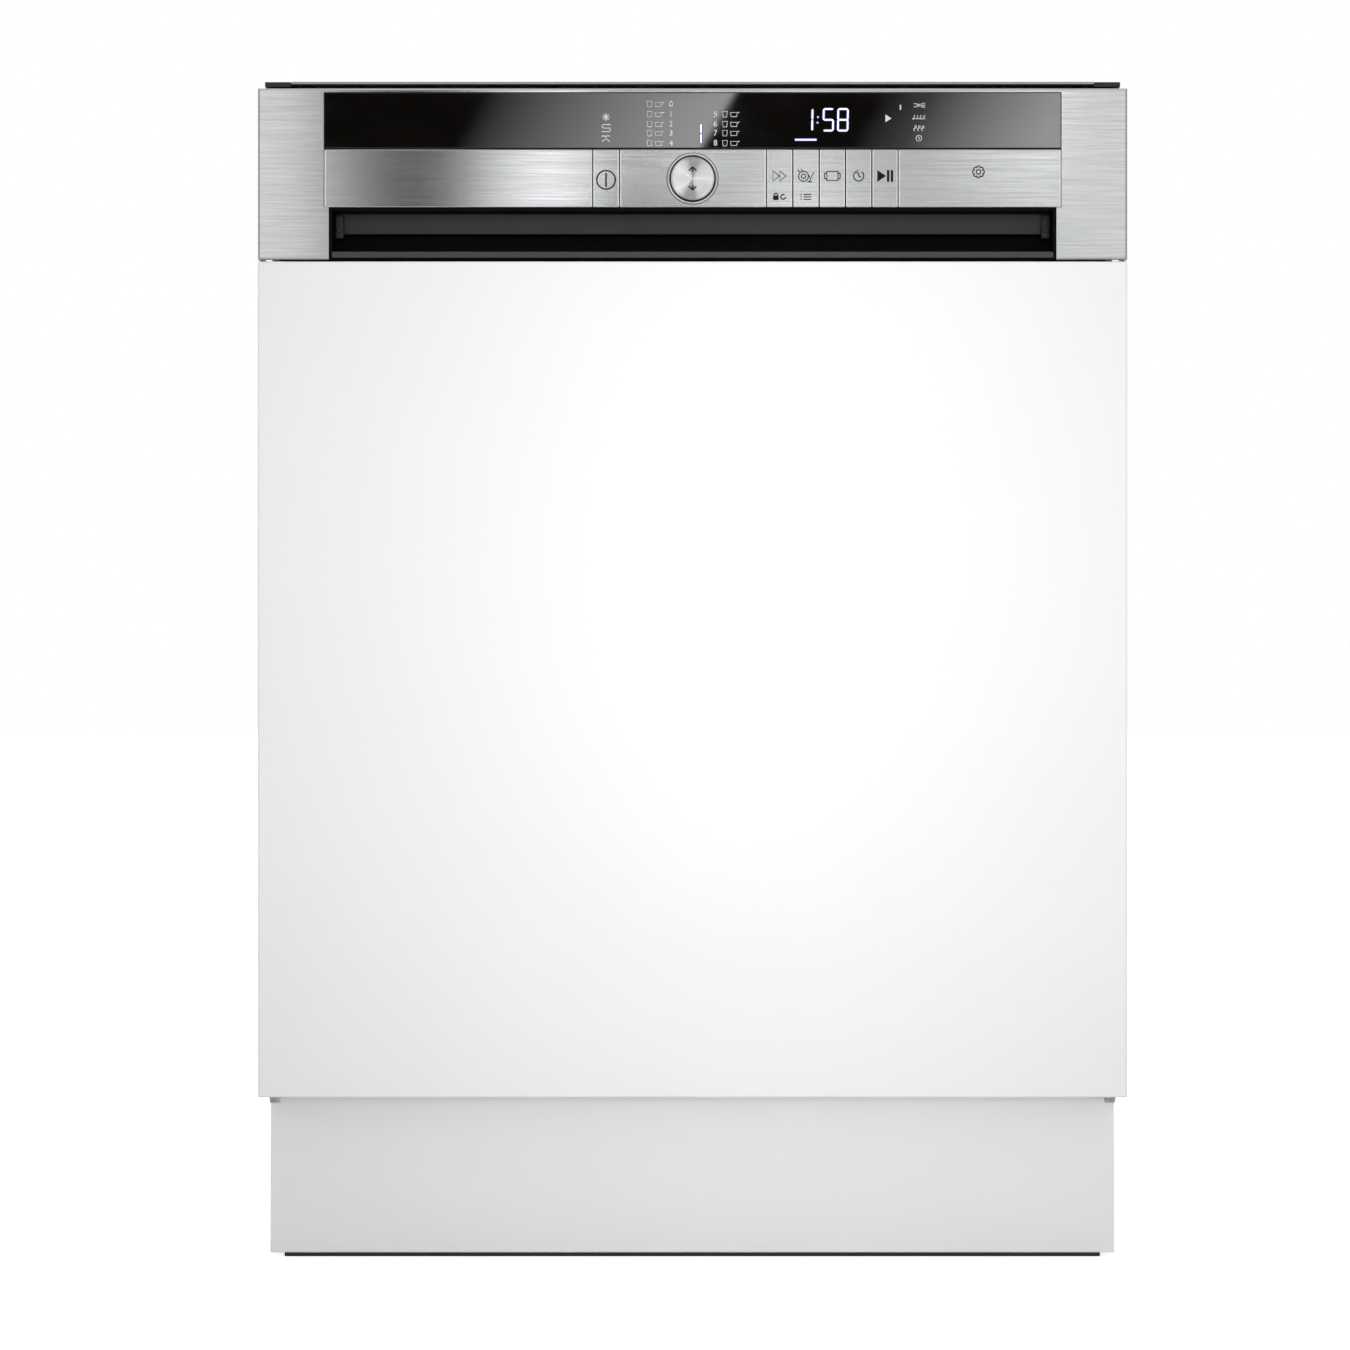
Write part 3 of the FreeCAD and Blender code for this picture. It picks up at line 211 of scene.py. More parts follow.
@dataclass(frozen=True)
class BrushedMetal(Finish):
    """Bare metal with fine scratches that all run one way."""

    grain: Grain = Grain.ALONG_X
    roughness: float = 0.3
    contrast: float = 0.12
    depth: float = 0.00004
    stretch: float = 0.0

    def recipe(self) -> Recipe:
        """Long streaks over hair-fine lines, which tint, roughen and raise the metal.

        Returns:
            The finished recipe.
        """
        recipe = Recipe(self.name)
        recipe.set(Metallic=1.0, Anisotropic=self.stretch)
        if self.stretch:
            tangent = recipe.node("Tangent", direction_type="RADIAL", axis="X")
            recipe.tree.links.new(tangent.outputs[0], recipe.shader.inputs["Tangent"])
        fine = recipe.noise(self.grain.value, 5.0, 0.65)
        broad = recipe.noise(tuple(along * 0.32 for along in self.grain.value), 2.0, 0.5)
        lines = recipe.maths("ADD", recipe.maths("MULTIPLY", fine, 0.8), recipe.maths("MULTIPLY", broad, 0.2))
        share = recipe.spread(lines, 0.0, 1.0, 0.36, 0.64)
        recipe.tint(share, self.scaled(1 - self.contrast), self.scaled(1 + self.contrast * 0.6))
        recipe.rough(recipe.spread(lines, self.roughness * 1.25, self.roughness * 0.8, 0.35, 0.65))
        recipe.bump(lines, self.depth)
        return recipe


@dataclass(frozen=True)
class SpunMetal(Finish):
    """A lathe-turned metal face: circular grain, with bright and dark wedges painted into its colour as a
    painted reflection.
    """

    centre: Triple = (0.0, 0.0, 0.0)

    def recipe(self) -> Recipe:
        """Rings about the centre raise the face, and its angle paints bright and dark wedges of reflection
        into its colour.

        Returns:
            The finished recipe.
        """
        recipe = Recipe(self.name)
        recipe.set(Metallic=1.0, Roughness=0.27)
        apart = recipe.node("SeparateXYZ", {0: recipe.place((1.0, 1.0, 1.0), self.centre)})
        across, up = apart.outputs["X"], apart.outputs["Z"]
        angle = recipe.maths("ARCTAN2", up, across)
        radius = recipe.maths("SQRT", recipe.maths("ADD", recipe.maths("MULTIPLY", across, across),
                                                   recipe.maths("MULTIPLY", up, up)))
        # Painted reflection: the colour is darkest in narrow wedges at the top and bottom and in fainter ones
        # between, and brighter than the steel elsewhere.
        upright = recipe.maths("ABSOLUTE", recipe.maths("SINE", recipe.maths("ADD", angle, 0.12)))
        painted_dark_wedge = recipe.maths("POWER", upright, 9.0)
        painted_side_wedges = recipe.maths("MULTIPLY", recipe.maths("ABSOLUTE", recipe.maths("SINE", recipe.maths(
            "MULTIPLY", angle, 2.5))), 0.22)
        hair = recipe.node("TexNoise", {"Vector": recipe.node("CombineXYZ", {
            0: recipe.maths("MULTIPLY", radius, 5200.0), 1: recipe.maths("MULTIPLY", angle, 0.7)}).outputs[0],
            "Scale": 1.0, "Detail": 3.0}).outputs["Fac"]
        shade = recipe.maths("ADD", recipe.maths("ADD", painted_dark_wedge, painted_side_wedges), recipe.maths("MULTIPLY", hair, 0.16))
        recipe.tint(shade, self.scaled(1.18), self.scaled(0.5))
        recipe.bump(hair, 0.00003)
        return recipe


@dataclass(frozen=True)
class Moulding(Finish):
    """Moulded plastic or rubber with a fine spark-eroded grain."""

    roughness: float = 0.5
    grain_size: float = 0.0006
    depth: float = 0.00003
    coat: float = 0.0
    gleam: float = 0.5

    def recipe(self) -> Recipe:
        """A fine grain, and slow changes of shade where the plastic flowed.

        Returns:
            The finished recipe.
        """
        recipe = Recipe(self.name)
        recipe.set(Coat_Weight=self.coat, Coat_Roughness=0.2, Specular_IOR_Level=self.gleam)
        pitch = 1 / self.grain_size
        grain = recipe.noise((pitch, pitch, pitch), 3.0)
        flow = recipe.noise((9.0, 9.0, 9.0), 3.0)
        recipe.tint(recipe.spread(flow, 0.0, 1.0), self.scaled(0.88), self.scaled(1.1))
        recipe.rough(recipe.spread(grain, self.roughness - 0.06, self.roughness + 0.08))
        recipe.bump(grain, self.depth)
        return recipe


@dataclass(frozen=True)
class Lacquer(Finish):
    """Sprayed white lacquer on board: satin, with a very faint orange peel."""

    roughness: float = 0.34

    def recipe(self) -> Recipe:
        """Orange peel under a thin clear coat, with a breath of unevenness in the roughness.

        Returns:
            The finished recipe.
        """
        recipe = Recipe(self.name)
        recipe.set(Coat_Weight=0.25, Coat_Roughness=0.18, Specular_IOR_Level=0.45)
        peel = recipe.noise((420.0, 420.0, 420.0), 2.0, 0.45)
        cloud = recipe.noise((5.0, 5.0, 5.0), 3.0)
        recipe.tint(recipe.spread(cloud, 0.0, 1.0), self.scaled(0.985), self.scaled(1.0))
        recipe.rough(recipe.spread(cloud, self.roughness - 0.03, self.roughness + 0.05))
        recipe.bump(peel, 0.000012)
        return recipe


@dataclass(frozen=True)
class Galvanised(Finish):
    """Zinc-dipped sheet with its frosty spangle."""

    spangle: float = 0.009

    def recipe(self) -> Recipe:
        """Cells of slightly different grey, with a rolled texture inside them.

        Returns:
            The finished recipe.
        """
        recipe = Recipe(self.name)
        recipe.set(Metallic=0.9)
        pitch = 1 / self.spangle
        warp = recipe.node("TexNoise", {"Vector": recipe.place((40.0, 40.0, 40.0)), "Scale": 1.0})
        source = recipe.node("VectorMath", {0: recipe.place((pitch, pitch, pitch)),
                                            1: warp.outputs["Color"]}, operation="ADD").outputs[0]
        cells = recipe.node("TexVoronoi", {"Vector": source, "Scale": 1.0})
        value = recipe.node("SeparateColor", {0: cells.outputs["Color"]}).outputs[0]
        roll = recipe.noise((60.0, 900.0, 900.0), 3.0)
        share = recipe.maths("ADD", recipe.maths("MULTIPLY", value, 0.6), recipe.maths("MULTIPLY", roll, 0.4))
        recipe.tint(share, self.scaled(0.82), self.scaled(1.12))
        recipe.rough(recipe.spread(share, 0.34, 0.52, 0.0, 1.0))
        recipe.bump(roll, 0.00003)
        return recipe


@dataclass(frozen=True)
class Gloss(Finish):
    """A polished dark glass or gloss plastic with faint wiping marks."""

    roughness: float = 0.03

    def recipe(self) -> Recipe:
        """Almost a mirror, with smudges that only change the roughness.

        Returns:
            The finished recipe.
        """
        recipe = Recipe(self.name)
        recipe.set(Specular_IOR_Level=0.9, Coat_Weight=0.5, Coat_Roughness=0.02)
        smudge = recipe.noise((26.0, 26.0, 70.0), 4.0)
        recipe.tint(recipe.spread(smudge, 0.0, 1.0), self.scaled(0.9), self.scaled(1.15))
        recipe.rough(recipe.spread(smudge, self.roughness * 0.5, self.roughness + 0.01, 0.45, 0.8))
        return recipe


@dataclass(frozen=True)
class Polished(Finish):
    """Chrome or polished steel with hair-fine polishing lines."""

    roughness: float = 0.1

    def recipe(self) -> Recipe:
        """A near mirror that varies a little in roughness and shade.

        Returns:
            The finished recipe.
        """
        recipe = Recipe(self.name)
        recipe.set(Metallic=1.0)
        lines = recipe.noise((700.0, 700.0, 160.0), 3.0)
        recipe.tint(recipe.spread(lines, 0.0, 1.0), self.scaled(0.93), self.scaled(1.05))
        recipe.rough(recipe.spread(lines, self.roughness, self.roughness + 0.08))
        return recipe


@dataclass(frozen=True)
class Perforated(Finish):
    """Sheet steel with rows of small round holes, their dark insides painted shade."""

    pitch: float = 0.0022

    def recipe(self) -> Recipe:
        """Dots on a square grid, darker as painted shade of the holes, rougher and lower than the steel
        between them.

        Returns:
            The finished recipe.
        """
        recipe = Recipe(self.name)
        turns = 2 * math.pi / self.pitch
        apart = recipe.node("SeparateXYZ", {0: recipe.place((turns, turns, turns))})
        waves = [recipe.maths("COSINE", apart.outputs[number]) for number in range(2)]
        dots = recipe.maths("MULTIPLY", waves[0], waves[1])
        steel = recipe.spread(dots, 1.0, 0.0, 0.25, 0.45)
        # Painted shade: the holes are near black for the dark hollow behind them.
        recipe.tint(steel, self.scaled(0.04), self.scaled(1.0))
        recipe.tree.links.new(steel, recipe.shader.inputs["Metallic"])
        recipe.rough(recipe.spread(steel, 0.9, 0.34, 0.0, 1.0))
        recipe.bump(steel, 0.0003)
        return recipe


@dataclass(frozen=True)
class Ink(Finish):
    """Screen-printed ink, slightly uneven."""

    def recipe(self) -> Recipe:
        """A matt film with a little variation in its cover.

        Returns:
            The finished recipe.
        """
        recipe = Recipe(self.name)
        recipe.set(Specular_IOR_Level=0.12)
        cover = recipe.noise((1800.0, 1800.0, 1800.0), 2.0)
        recipe.tint(recipe.spread(cover, 0.0, 1.0), self.scaled(0.85), self.scaled(1.1))
        recipe.rough(recipe.spread(cover, 0.45, 0.6))
        return recipe


@dataclass(frozen=True)
class Lit(Finish):
    """A lit display segment."""

    strength: float = 3.0

    def recipe(self) -> Recipe:
        """Light of one colour over a dark body.

        Returns:
            The finished recipe.
        """
        recipe = Recipe(self.name)
        recipe.set(Base_Color=(0.02, 0.02, 0.02), Emission_Color=self.colour,
                   Emission_Strength=self.strength, Roughness=0.4)
        return recipe


CONSOLE_STEEL = BrushedMetal("console_steel", (0.62, 0.63, 0.64), Grain.ALONG_X, 0.115, 0.13, 0.000008, 0.8)
TUB_STEEL = BrushedMetal("tub_steel", (0.70, 0.71, 0.72), Grain.ALONG_Z, 0.24, 0.05, 0.00001)
DOOR_STEEL = BrushedMetal("door_steel", (0.70, 0.71, 0.72), Grain.ALONG_X, 0.24, 0.05, 0.00001)
RAIL_STEEL = BrushedMetal("rail_steel", (0.68, 0.69, 0.70), Grain.ALONG_Y, 0.22, 0.06)
HINGE_STEEL = BrushedMetal("hinge_steel", (0.50, 0.51, 0.52), Grain.EVEN, 0.36, 0.12)
SPRING_STEEL = BrushedMetal("spring_steel", (0.28, 0.28, 0.29), Grain.EVEN, 0.36, 0.14)
CHROME = Polished("polished_chrome", (0.80, 0.80, 0.80), 0.07)
# Partly polished steel, partly painted highlight: brighter than the steel, for the thin glint lines along the
# keys' and strips' edges.
EDGE_HIGHLIGHT_STEEL = Polished("edge_highlight_steel", (0.92, 0.92, 0.92), 0.2)
ZINC = Polished("zinc_plate", (0.62, 0.62, 0.60), 0.24)
TRIM_ALUMINIUM = BrushedMetal("trim_aluminium", (0.40, 0.41, 0.41), Grain.ALONG_X, 0.34, 0.08)
ZINC_SHEET = Galvanised("galvanised_sheet", (0.56, 0.58, 0.60))
FILTER_STEEL = Perforated("filter_steel", (0.66, 0.67, 0.68))
WHITE_LACQUER = Lacquer("white_lacquer", (0.90, 0.90, 0.895))
PLINTH_LACQUER = Lacquer("plinth_lacquer", (0.90, 0.90, 0.895), 0.4)
BLACK_GLASS = Gloss("display_black", (0.0045, 0.0038, 0.0032))
BLACK_PLASTIC = Moulding("black_plastic", (0.012, 0.012, 0.013), 0.5)
# Painted light and shade in the grip recess: the one black moulding in three tones, the cavity painted darker
# than black plastic for its shade, the ledge and the lip painted lighter for the light on them.
RECESS_BLACK_PAINTED_SHADE = Moulding("recess_black_painted_shade", (0.0025, 0.0023, 0.0023), 0.62, gleam=0.12)
LEDGE_GREY_PAINTED_LIGHT = Moulding("ledge_grey_painted_light", (0.029, 0.0315, 0.0315), 0.55, 0.0009)
LIP_GREY_PAINTED_LIGHT = Moulding("lip_grey_painted_light", (0.044, 0.048, 0.049), 0.5, 0.0009)
TRAY_BLACK = Moulding("tray_black", (0.03, 0.03, 0.032), 0.55, 0.0012, 0.00006)
BRACKET_BLACK = Moulding("bracket_black", (0.01, 0.01, 0.01), 0.45)
SEAL_RUBBER = Moulding("seal_rubber", (0.02, 0.021, 0.023), 0.7, 0.0004)
FOOT_NYLON = Moulding("foot_nylon", (0.05, 0.05, 0.052), 0.5, 0.0008)
PART_GREY = Moulding("part_grey", (0.20, 0.22, 0.25), 0.42, 0.0007, coat=0.1)
SPRAY_GREY = Moulding("spray_grey", (0.26, 0.29, 0.33), 0.38, 0.0007, coat=0.15)
BASKET_GREY = Moulding("basket_grey", (0.22, 0.25, 0.29), 0.45, 0.0007)
CAP_BLUE = Moulding("cap_blue", (0.05, 0.13, 0.26), 0.4, 0.0006, coat=0.2)
VALVE_WHITE = Moulding("valve_white", (0.74, 0.74, 0.72), 0.42)
COATED_WIRE = Moulding("coated_wire", (0.42, 0.44, 0.47), 0.32, 0.0008, 0.00002, 0.35)
FELT_GREY = Moulding("felt_grey", (0.055, 0.057, 0.06), 0.95, 0.0014, 0.0005)
BLACK_INK = Ink("black_ink", (0.012, 0.010, 0.009))
WHITE_INK = Ink("white_ink", (0.72, 0.72, 0.71))
PALE_INK = Ink("pale_ink", (0.62, 0.62, 0.60))
# Painted shadow: the grey of the thin line round the rocker's chrome ring.
SHADOW_LINE_INK = Ink("shadow_line_ink", (0.10, 0.10, 0.10))
WHITE_LIGHT = Lit("white_light", (0.93, 0.94, 1.0), 1.5)
HALO_LIGHT = Lit("halo_light", (0.12, 0.13, 0.62), 0.55)


# ---- meshes ----

def rounded(points: list[Vector], radius: float, steps: int = 5, closed: bool = False) -> list[Vector]:
    """Replaces each corner of a run of points by an arc.

    Args:
        points: the corners.
        radius: the bend radius, made smaller where the runs are short.
        steps: points on each arc, less one.
        closed: True if the last point joins the first.

    Returns:
        The points of the rounded path.
    """
    path = []
    for number, corner in enumerate(points):
        if not closed and number in (0, len(points) - 1):
            path.append(corner)
            continue
        before, after = points[number - 1], points[(number + 1) % len(points)]
        back, ahead = (before - corner), (after - corner)
        half = back.angle(ahead) / 2
        reach = min(radius / math.tan(half), back.length * 0.48, ahead.length * 0.48)
        start, end = corner + back.normalized() * reach, corner + ahead.normalized() * reach
        bisector = (back.normalized() + ahead.normalized()).normalized()
        centre = corner + bisector * (reach / math.cos(half))
        first, last = start - centre, end - centre
        for step in range(steps + 1):
            path.append(centre + first.slerp(last, step / steps))
    return path


def at(x: float, y: float, z: float) -> Vector:
    """A point in millimetres."""
    return Vector((x, y, z))


class Shape:
    """A mesh under construction, in millimetres, that ends as one finished piece."""

    def __init__(self) -> None:
        """Starts with an empty mesh."""
        self.mesh = bmesh.new()

    def bevel(self, corners: list[bmesh.types.BMVert], width: float, segments: int) -> None:
        """Rounds every edge between the given corners.

        Args:
            corners: the vertices whose shared edges are rounded.
            width: the radius.
            segments: steps across each edge.
        """
        chosen = set(corners)
        edges = {edge for corner in corners for edge in corner.link_edges if set(edge.verts) <= chosen}
        bmesh.ops.bevel(self.mesh, geom=list(edges), offset=width, segments=segments, profile=0.5,
                        affect="EDGES", offset_type="OFFSET", material=-1)

    def box(self, low: Triple, high: Triple, round_by: float = 0.0, segments: int = 3) -> "Shape":
        """Adds a box between two corners.

        Args:
            low: the lowest corner.
            high: the highest corner.
            round_by: the radius of its edges.
            segments: steps across each rounded edge.

        Returns:
            The shape itself.
        """
        low, high = Vector(low), Vector(high)
        size = Matrix.Diagonal((*(high - low), 1.0))
        made = bmesh.ops.create_cube(self.mesh, size=1.0, matrix=Matrix.Translation((low + high) / 2) @ size)
        if round_by:
            self.bevel(made["verts"], round_by, segments)
        return self

    def bar(self, start: Vector, end: Vector, radius: float, sides: int = 24, round_by: float = 0.0,
            end_radius: float | None = None) -> "Shape":
        """Adds a round bar or a cone between two points, with its rims rounded if asked.

        Args:
            start: the middle of one end.
            end: the middle of the other.
            radius: its radius.
            sides: the number of its sides.
            round_by: the radius of its rims.
            end_radius: the radius at the other end, if it tapers.

        Returns:
            The shape itself.
        """
        along = end - start
        turn = Vector((0, 0, 1)).rotation_difference(along).to_matrix().to_4x4()
        made = bmesh.ops.create_cone(self.mesh, cap_ends=True, segments=sides, radius1=radius,
                                     radius2=radius if end_radius is None else end_radius, depth=along.length,
                                     matrix=Matrix.Translation((start + end) / 2) @ turn)
        if round_by:
            rims = [edge for edge in {e for v in made["verts"] for e in v.link_edges}
                    if abs((edge.verts[1].co - edge.verts[0].co).dot(along)) < 1e-4]
            bmesh.ops.bevel(self.mesh, geom=rims, offset=round_by, segments=3, profile=0.5, affect="EDGES",
                            offset_type="OFFSET", material=-1)
        return self

    def lathe(self, profile: list[Pair], centre: Vector, axis: Axis, steps: int = 96) -> "Shape":
        """Spins a profile of (radius, height) pairs about an axis through a centre.

        Args:
            profile: pairs of radius and height.
            centre: a point on the axis.
            axis: the direction of the axis.
            steps: divisions of the full turn.

        Returns:
            The shape itself.
        """
        place = Matrix.Translation(centre) @ axis.turn
        points = [self.mesh.verts.new((radius, 0, height)) for radius, height in profile]
        edges = [self.mesh.edges.new(ends) for ends in zip(points, points[1:])]
        made = bmesh.ops.spin(self.mesh, geom=points + edges, axis=(0, 0, 1), cent=(0, 0, 0), steps=steps,
                              angle=2 * math.pi, use_merge=True, use_duplicate=False)
        found = {vert for vert in points if vert.is_valid}
        found |= {item for item in made["geom_last"] if isinstance(item, bmesh.types.BMVert)}
        spun = set()
        while found:
            vert = found.pop()
            spun.add(vert)
            found |= {edge.other_vert(vert) for edge in vert.link_edges} - spun
        bmesh.ops.transform(self.mesh, matrix=place, verts=list(spun))
        bmesh.ops.remove_doubles(self.mesh, verts=list(spun), dist=1e-4)
        return self

    def plate(self, outline: list[Vector], thick: Vector, round_by: float = 0.0) -> "Shape":
        """Adds a flat plate: an outline swept along a vector, with its far rim rounded if asked.

        Args:
            outline: its corners in order.
            thick: the vector it is swept along.
            round_by: the radius of the far rim.

        Returns:
            The shape itself.
        """
        face = self.mesh.faces.new([self.mesh.verts.new(point) for point in outline])
        made = bmesh.ops.extrude_face_region(self.mesh, geom=[face])
        far = [item for item in made["geom"] if isinstance(item, bmesh.types.BMVert)]
        bmesh.ops.translate(self.mesh, vec=thick, verts=far)
        if round_by:
            self.bevel(far, round_by, 3)
        return self

    def wires(self, paths: list[list[Vector]], radius: float, closed: bool = False,
              sides: int = 2) -> "Shape":
        """Adds round wires along paths.

        Args:
            paths: the points of each wire.
            radius: the wire's radius.
            closed: True if each wire is a loop.
            sides: the bevel resolution of the wire's section.

        Returns:
            The shape itself.
        """
        curve = bpy.data.curves.new("wire_path", "CURVE")
        curve.dimensions = "3D"
        curve.bevel_depth = radius
        curve.bevel_resolution = sides
        curve.use_fill_caps = True
        for points in paths:
            spline = curve.splines.new("POLY")
            spline.points.add(len(points) - 1)
            for target, point in zip(spline.points, points):
                target.co = (*point, 1.0)
            spline.use_cyclic_u = closed
        holder = bpy.data.objects.new("wire_path", curve)
        bpy.context.scene.collection.objects.link(holder)
        bpy.context.view_layer.update()
        made = bpy.data.meshes.new_from_object(holder.evaluated_get(bpy.context.evaluated_depsgraph_get()))
        self.mesh.from_mesh(made)
        bpy.data.objects.remove(holder)
        bpy.data.curves.remove(curve)
        bpy.data.meshes.remove(made)
        return self

    def mirror_x(self) -> "Shape":
        """Adds the mirror image of everything so far on the other side of the machine.

        Returns:
            The shape itself.
        """
        mesh = self.mesh
        both = bmesh.ops.duplicate(mesh, geom=mesh.verts[:] + mesh.edges[:] + mesh.faces[:])
        copies = [item for item in both["geom"] if isinstance(item, bmesh.types.BMVert)]
        bmesh.ops.scale(self.mesh, vec=(-1, 1, 1), verts=copies)
        faces = [item for item in both["geom"] if isinstance(item, bmesh.types.BMFace)]
        bmesh.ops.reverse_faces(self.mesh, faces=faces)
        return self

    def finish(self, name: str, finish: Finish, body: str, slot: str, *stands_for: str,
               sharp: float = 38.0) -> bpy.types.Object:
        """Ends the mesh as a piece of the machine.

        Args:
            name: the piece's name.
            finish: its surface.
            body: the body that it moves with.
            slot: the record's material slot; not used.
            stands_for: CAD nodes that it replaces.
            sharp: edges that turn by more than this many degrees stay sharp.

        Returns:
            The new object.
        """
        bmesh.ops.scale(self.mesh, vec=(MM, MM, MM), verts=self.mesh.verts[:])
        bmesh.ops.recalc_face_normals(self.mesh, faces=self.mesh.faces[:])
        data = bpy.data.meshes.new(name)
        self.mesh.to_mesh(data)
        self.mesh.free()
        data.materials.clear()
        data.materials.append(finish.material())
        data.shade_smooth()
        data.set_sharp_from_angle(angle=math.radians(sharp))
        piece = bpy.data.objects.new(name, data)
        bpy.context.scene.collection.objects.link(piece)
        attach(piece, body)
        if stands_for:
            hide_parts(*stands_for)
        LOG.info("%s: %d faces on %s", name, len(data.polygons), body)
        return piece


def dress(node: str, finish: Finish) -> None:
    """Gives a CAD node its finish.

    Args:
        node: the CAD node's name.
        finish: its surface.
    """
    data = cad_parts[node].data
    data.materials.clear()
    data.materials.append(finish.material())
    LOG.info("%s: %s", node, finish.name)


# ---- prints ----

def arc(across: float, up: float, radius: float, start: float = 0.0, sweep: float = 360.0) -> list[Pair]:
    """Points along an arc, or all round a circle, in the plane of a print.

    Args:
        across: the middle along X.
        up: the middle height.
        radius: its radius.
        start: the first angle in degrees.
        sweep: the angle it covers.

    Returns:
        The points in order.
    """
    count = max(5, round(abs(sweep) / 12) + 1)
    angles = [math.radians(start + sweep * step / (count - 1)) for step in range(count)]
    return [(across + radius * math.cos(angle), up + radius * math.sin(angle)) for angle in angles]


def frame_of(across: float, up: float, wide: float, tall: float) -> list[Pair]:
    """The outline of a rectangle about its middle.

    Args:
        across: the middle along X.
        up: the middle height.
        wide: its width.
        tall: its height.

    Returns:
        The corners, the first one again at the end.
    """
    right, top = wide / 2, tall / 2
    corners = [(-right, -top), (right, -top), (right, top), (-right, top), (-right, -top)]
    return [(across + x, up + z) for x, z in corners]


@dataclass
class Stencil:
    """One screen print on a face that looks forward: strokes, solid areas and figures."""

    face: float
    stroke: float = 0.5
    thick: float = 0.05
    shape: Shape = field(default_factory=Shape)

    def lines(self, *paths: list[Pair]) -> "Stencil":
        """Draws each path as a stroke of even width.

        Args:
            paths: runs of (across, up) points, closed where the ends meet.

        Returns:
            The stencil itself.
        """
        for path in paths:
            closed = len(path) > 2 and math.dist(path[0], path[-1]) < 1e-6
            run = [at(x, 0, z) for x, z in (path[:-1] if closed else path)]
            before = set(self.shape.mesh.verts)
            self.shape.wires([run], self.stroke / 2, closed, 1)
            added = [vert for vert in self.shape.mesh.verts if vert not in before]
            bmesh.ops.scale(self.shape.mesh, vec=(1, self.thick * 2 / self.stroke, 1), verts=added)
            bmesh.ops.translate(self.shape.mesh, vec=(0, self.face, 0), verts=added)
        return self

    def solid(self, *outlines: list[Pair]) -> "Stencil":
        """Fills each outline.

        Args:
            outlines: the corners of each area.

        Returns:
            The stencil itself.
        """
        for outline in outlines:
            self.shape.plate([at(x, self.face, z) for x, z in outline], at(0, -self.thick, 0))
        return self

    def figures(self, text: str, across: float, up: float, tall: float) -> "Stencil":
        """Prints figures about a middle point.

        Args:
            text: the figures.
            across: their middle along X.
            up: their middle height.
            tall: their height.

        Returns:
            The stencil itself.
        """
        curve = bpy.data.curves.new("figures", "FONT")
        curve.body, curve.size, curve.extrude = text, tall * 1.4, self.thick / 2
        curve.align_x, curve.align_y = "CENTER", "CENTER"
        holder = bpy.data.objects.new("figures", curve)
        bpy.context.scene.collection.objects.link(holder)
        bpy.context.view_layer.update()
        made = bpy.data.meshes.new_from_object(holder.evaluated_get(bpy.context.evaluated_depsgraph_get()))
        made.transform(Matrix.Translation(at(across, self.face - self.thick / 2, up))
                       @ Matrix.Rotation(math.radians(90), 4, "X"))
        self.shape.mesh.from_mesh(made)
        bpy.data.objects.remove(holder)
        bpy.data.curves.remove(curve)
        bpy.data.meshes.remove(made)
        return self

    def finish(self, name: str, finish: Finish, body: str, slot: str) -> None:
        """Ends the print as a piece."""
        bmesh.ops.remove_doubles(self.shape.mesh, verts=self.shape.mesh.verts[:], dist=1e-4)
        self.shape.finish(name, finish, body, slot)


# ---- the console ----

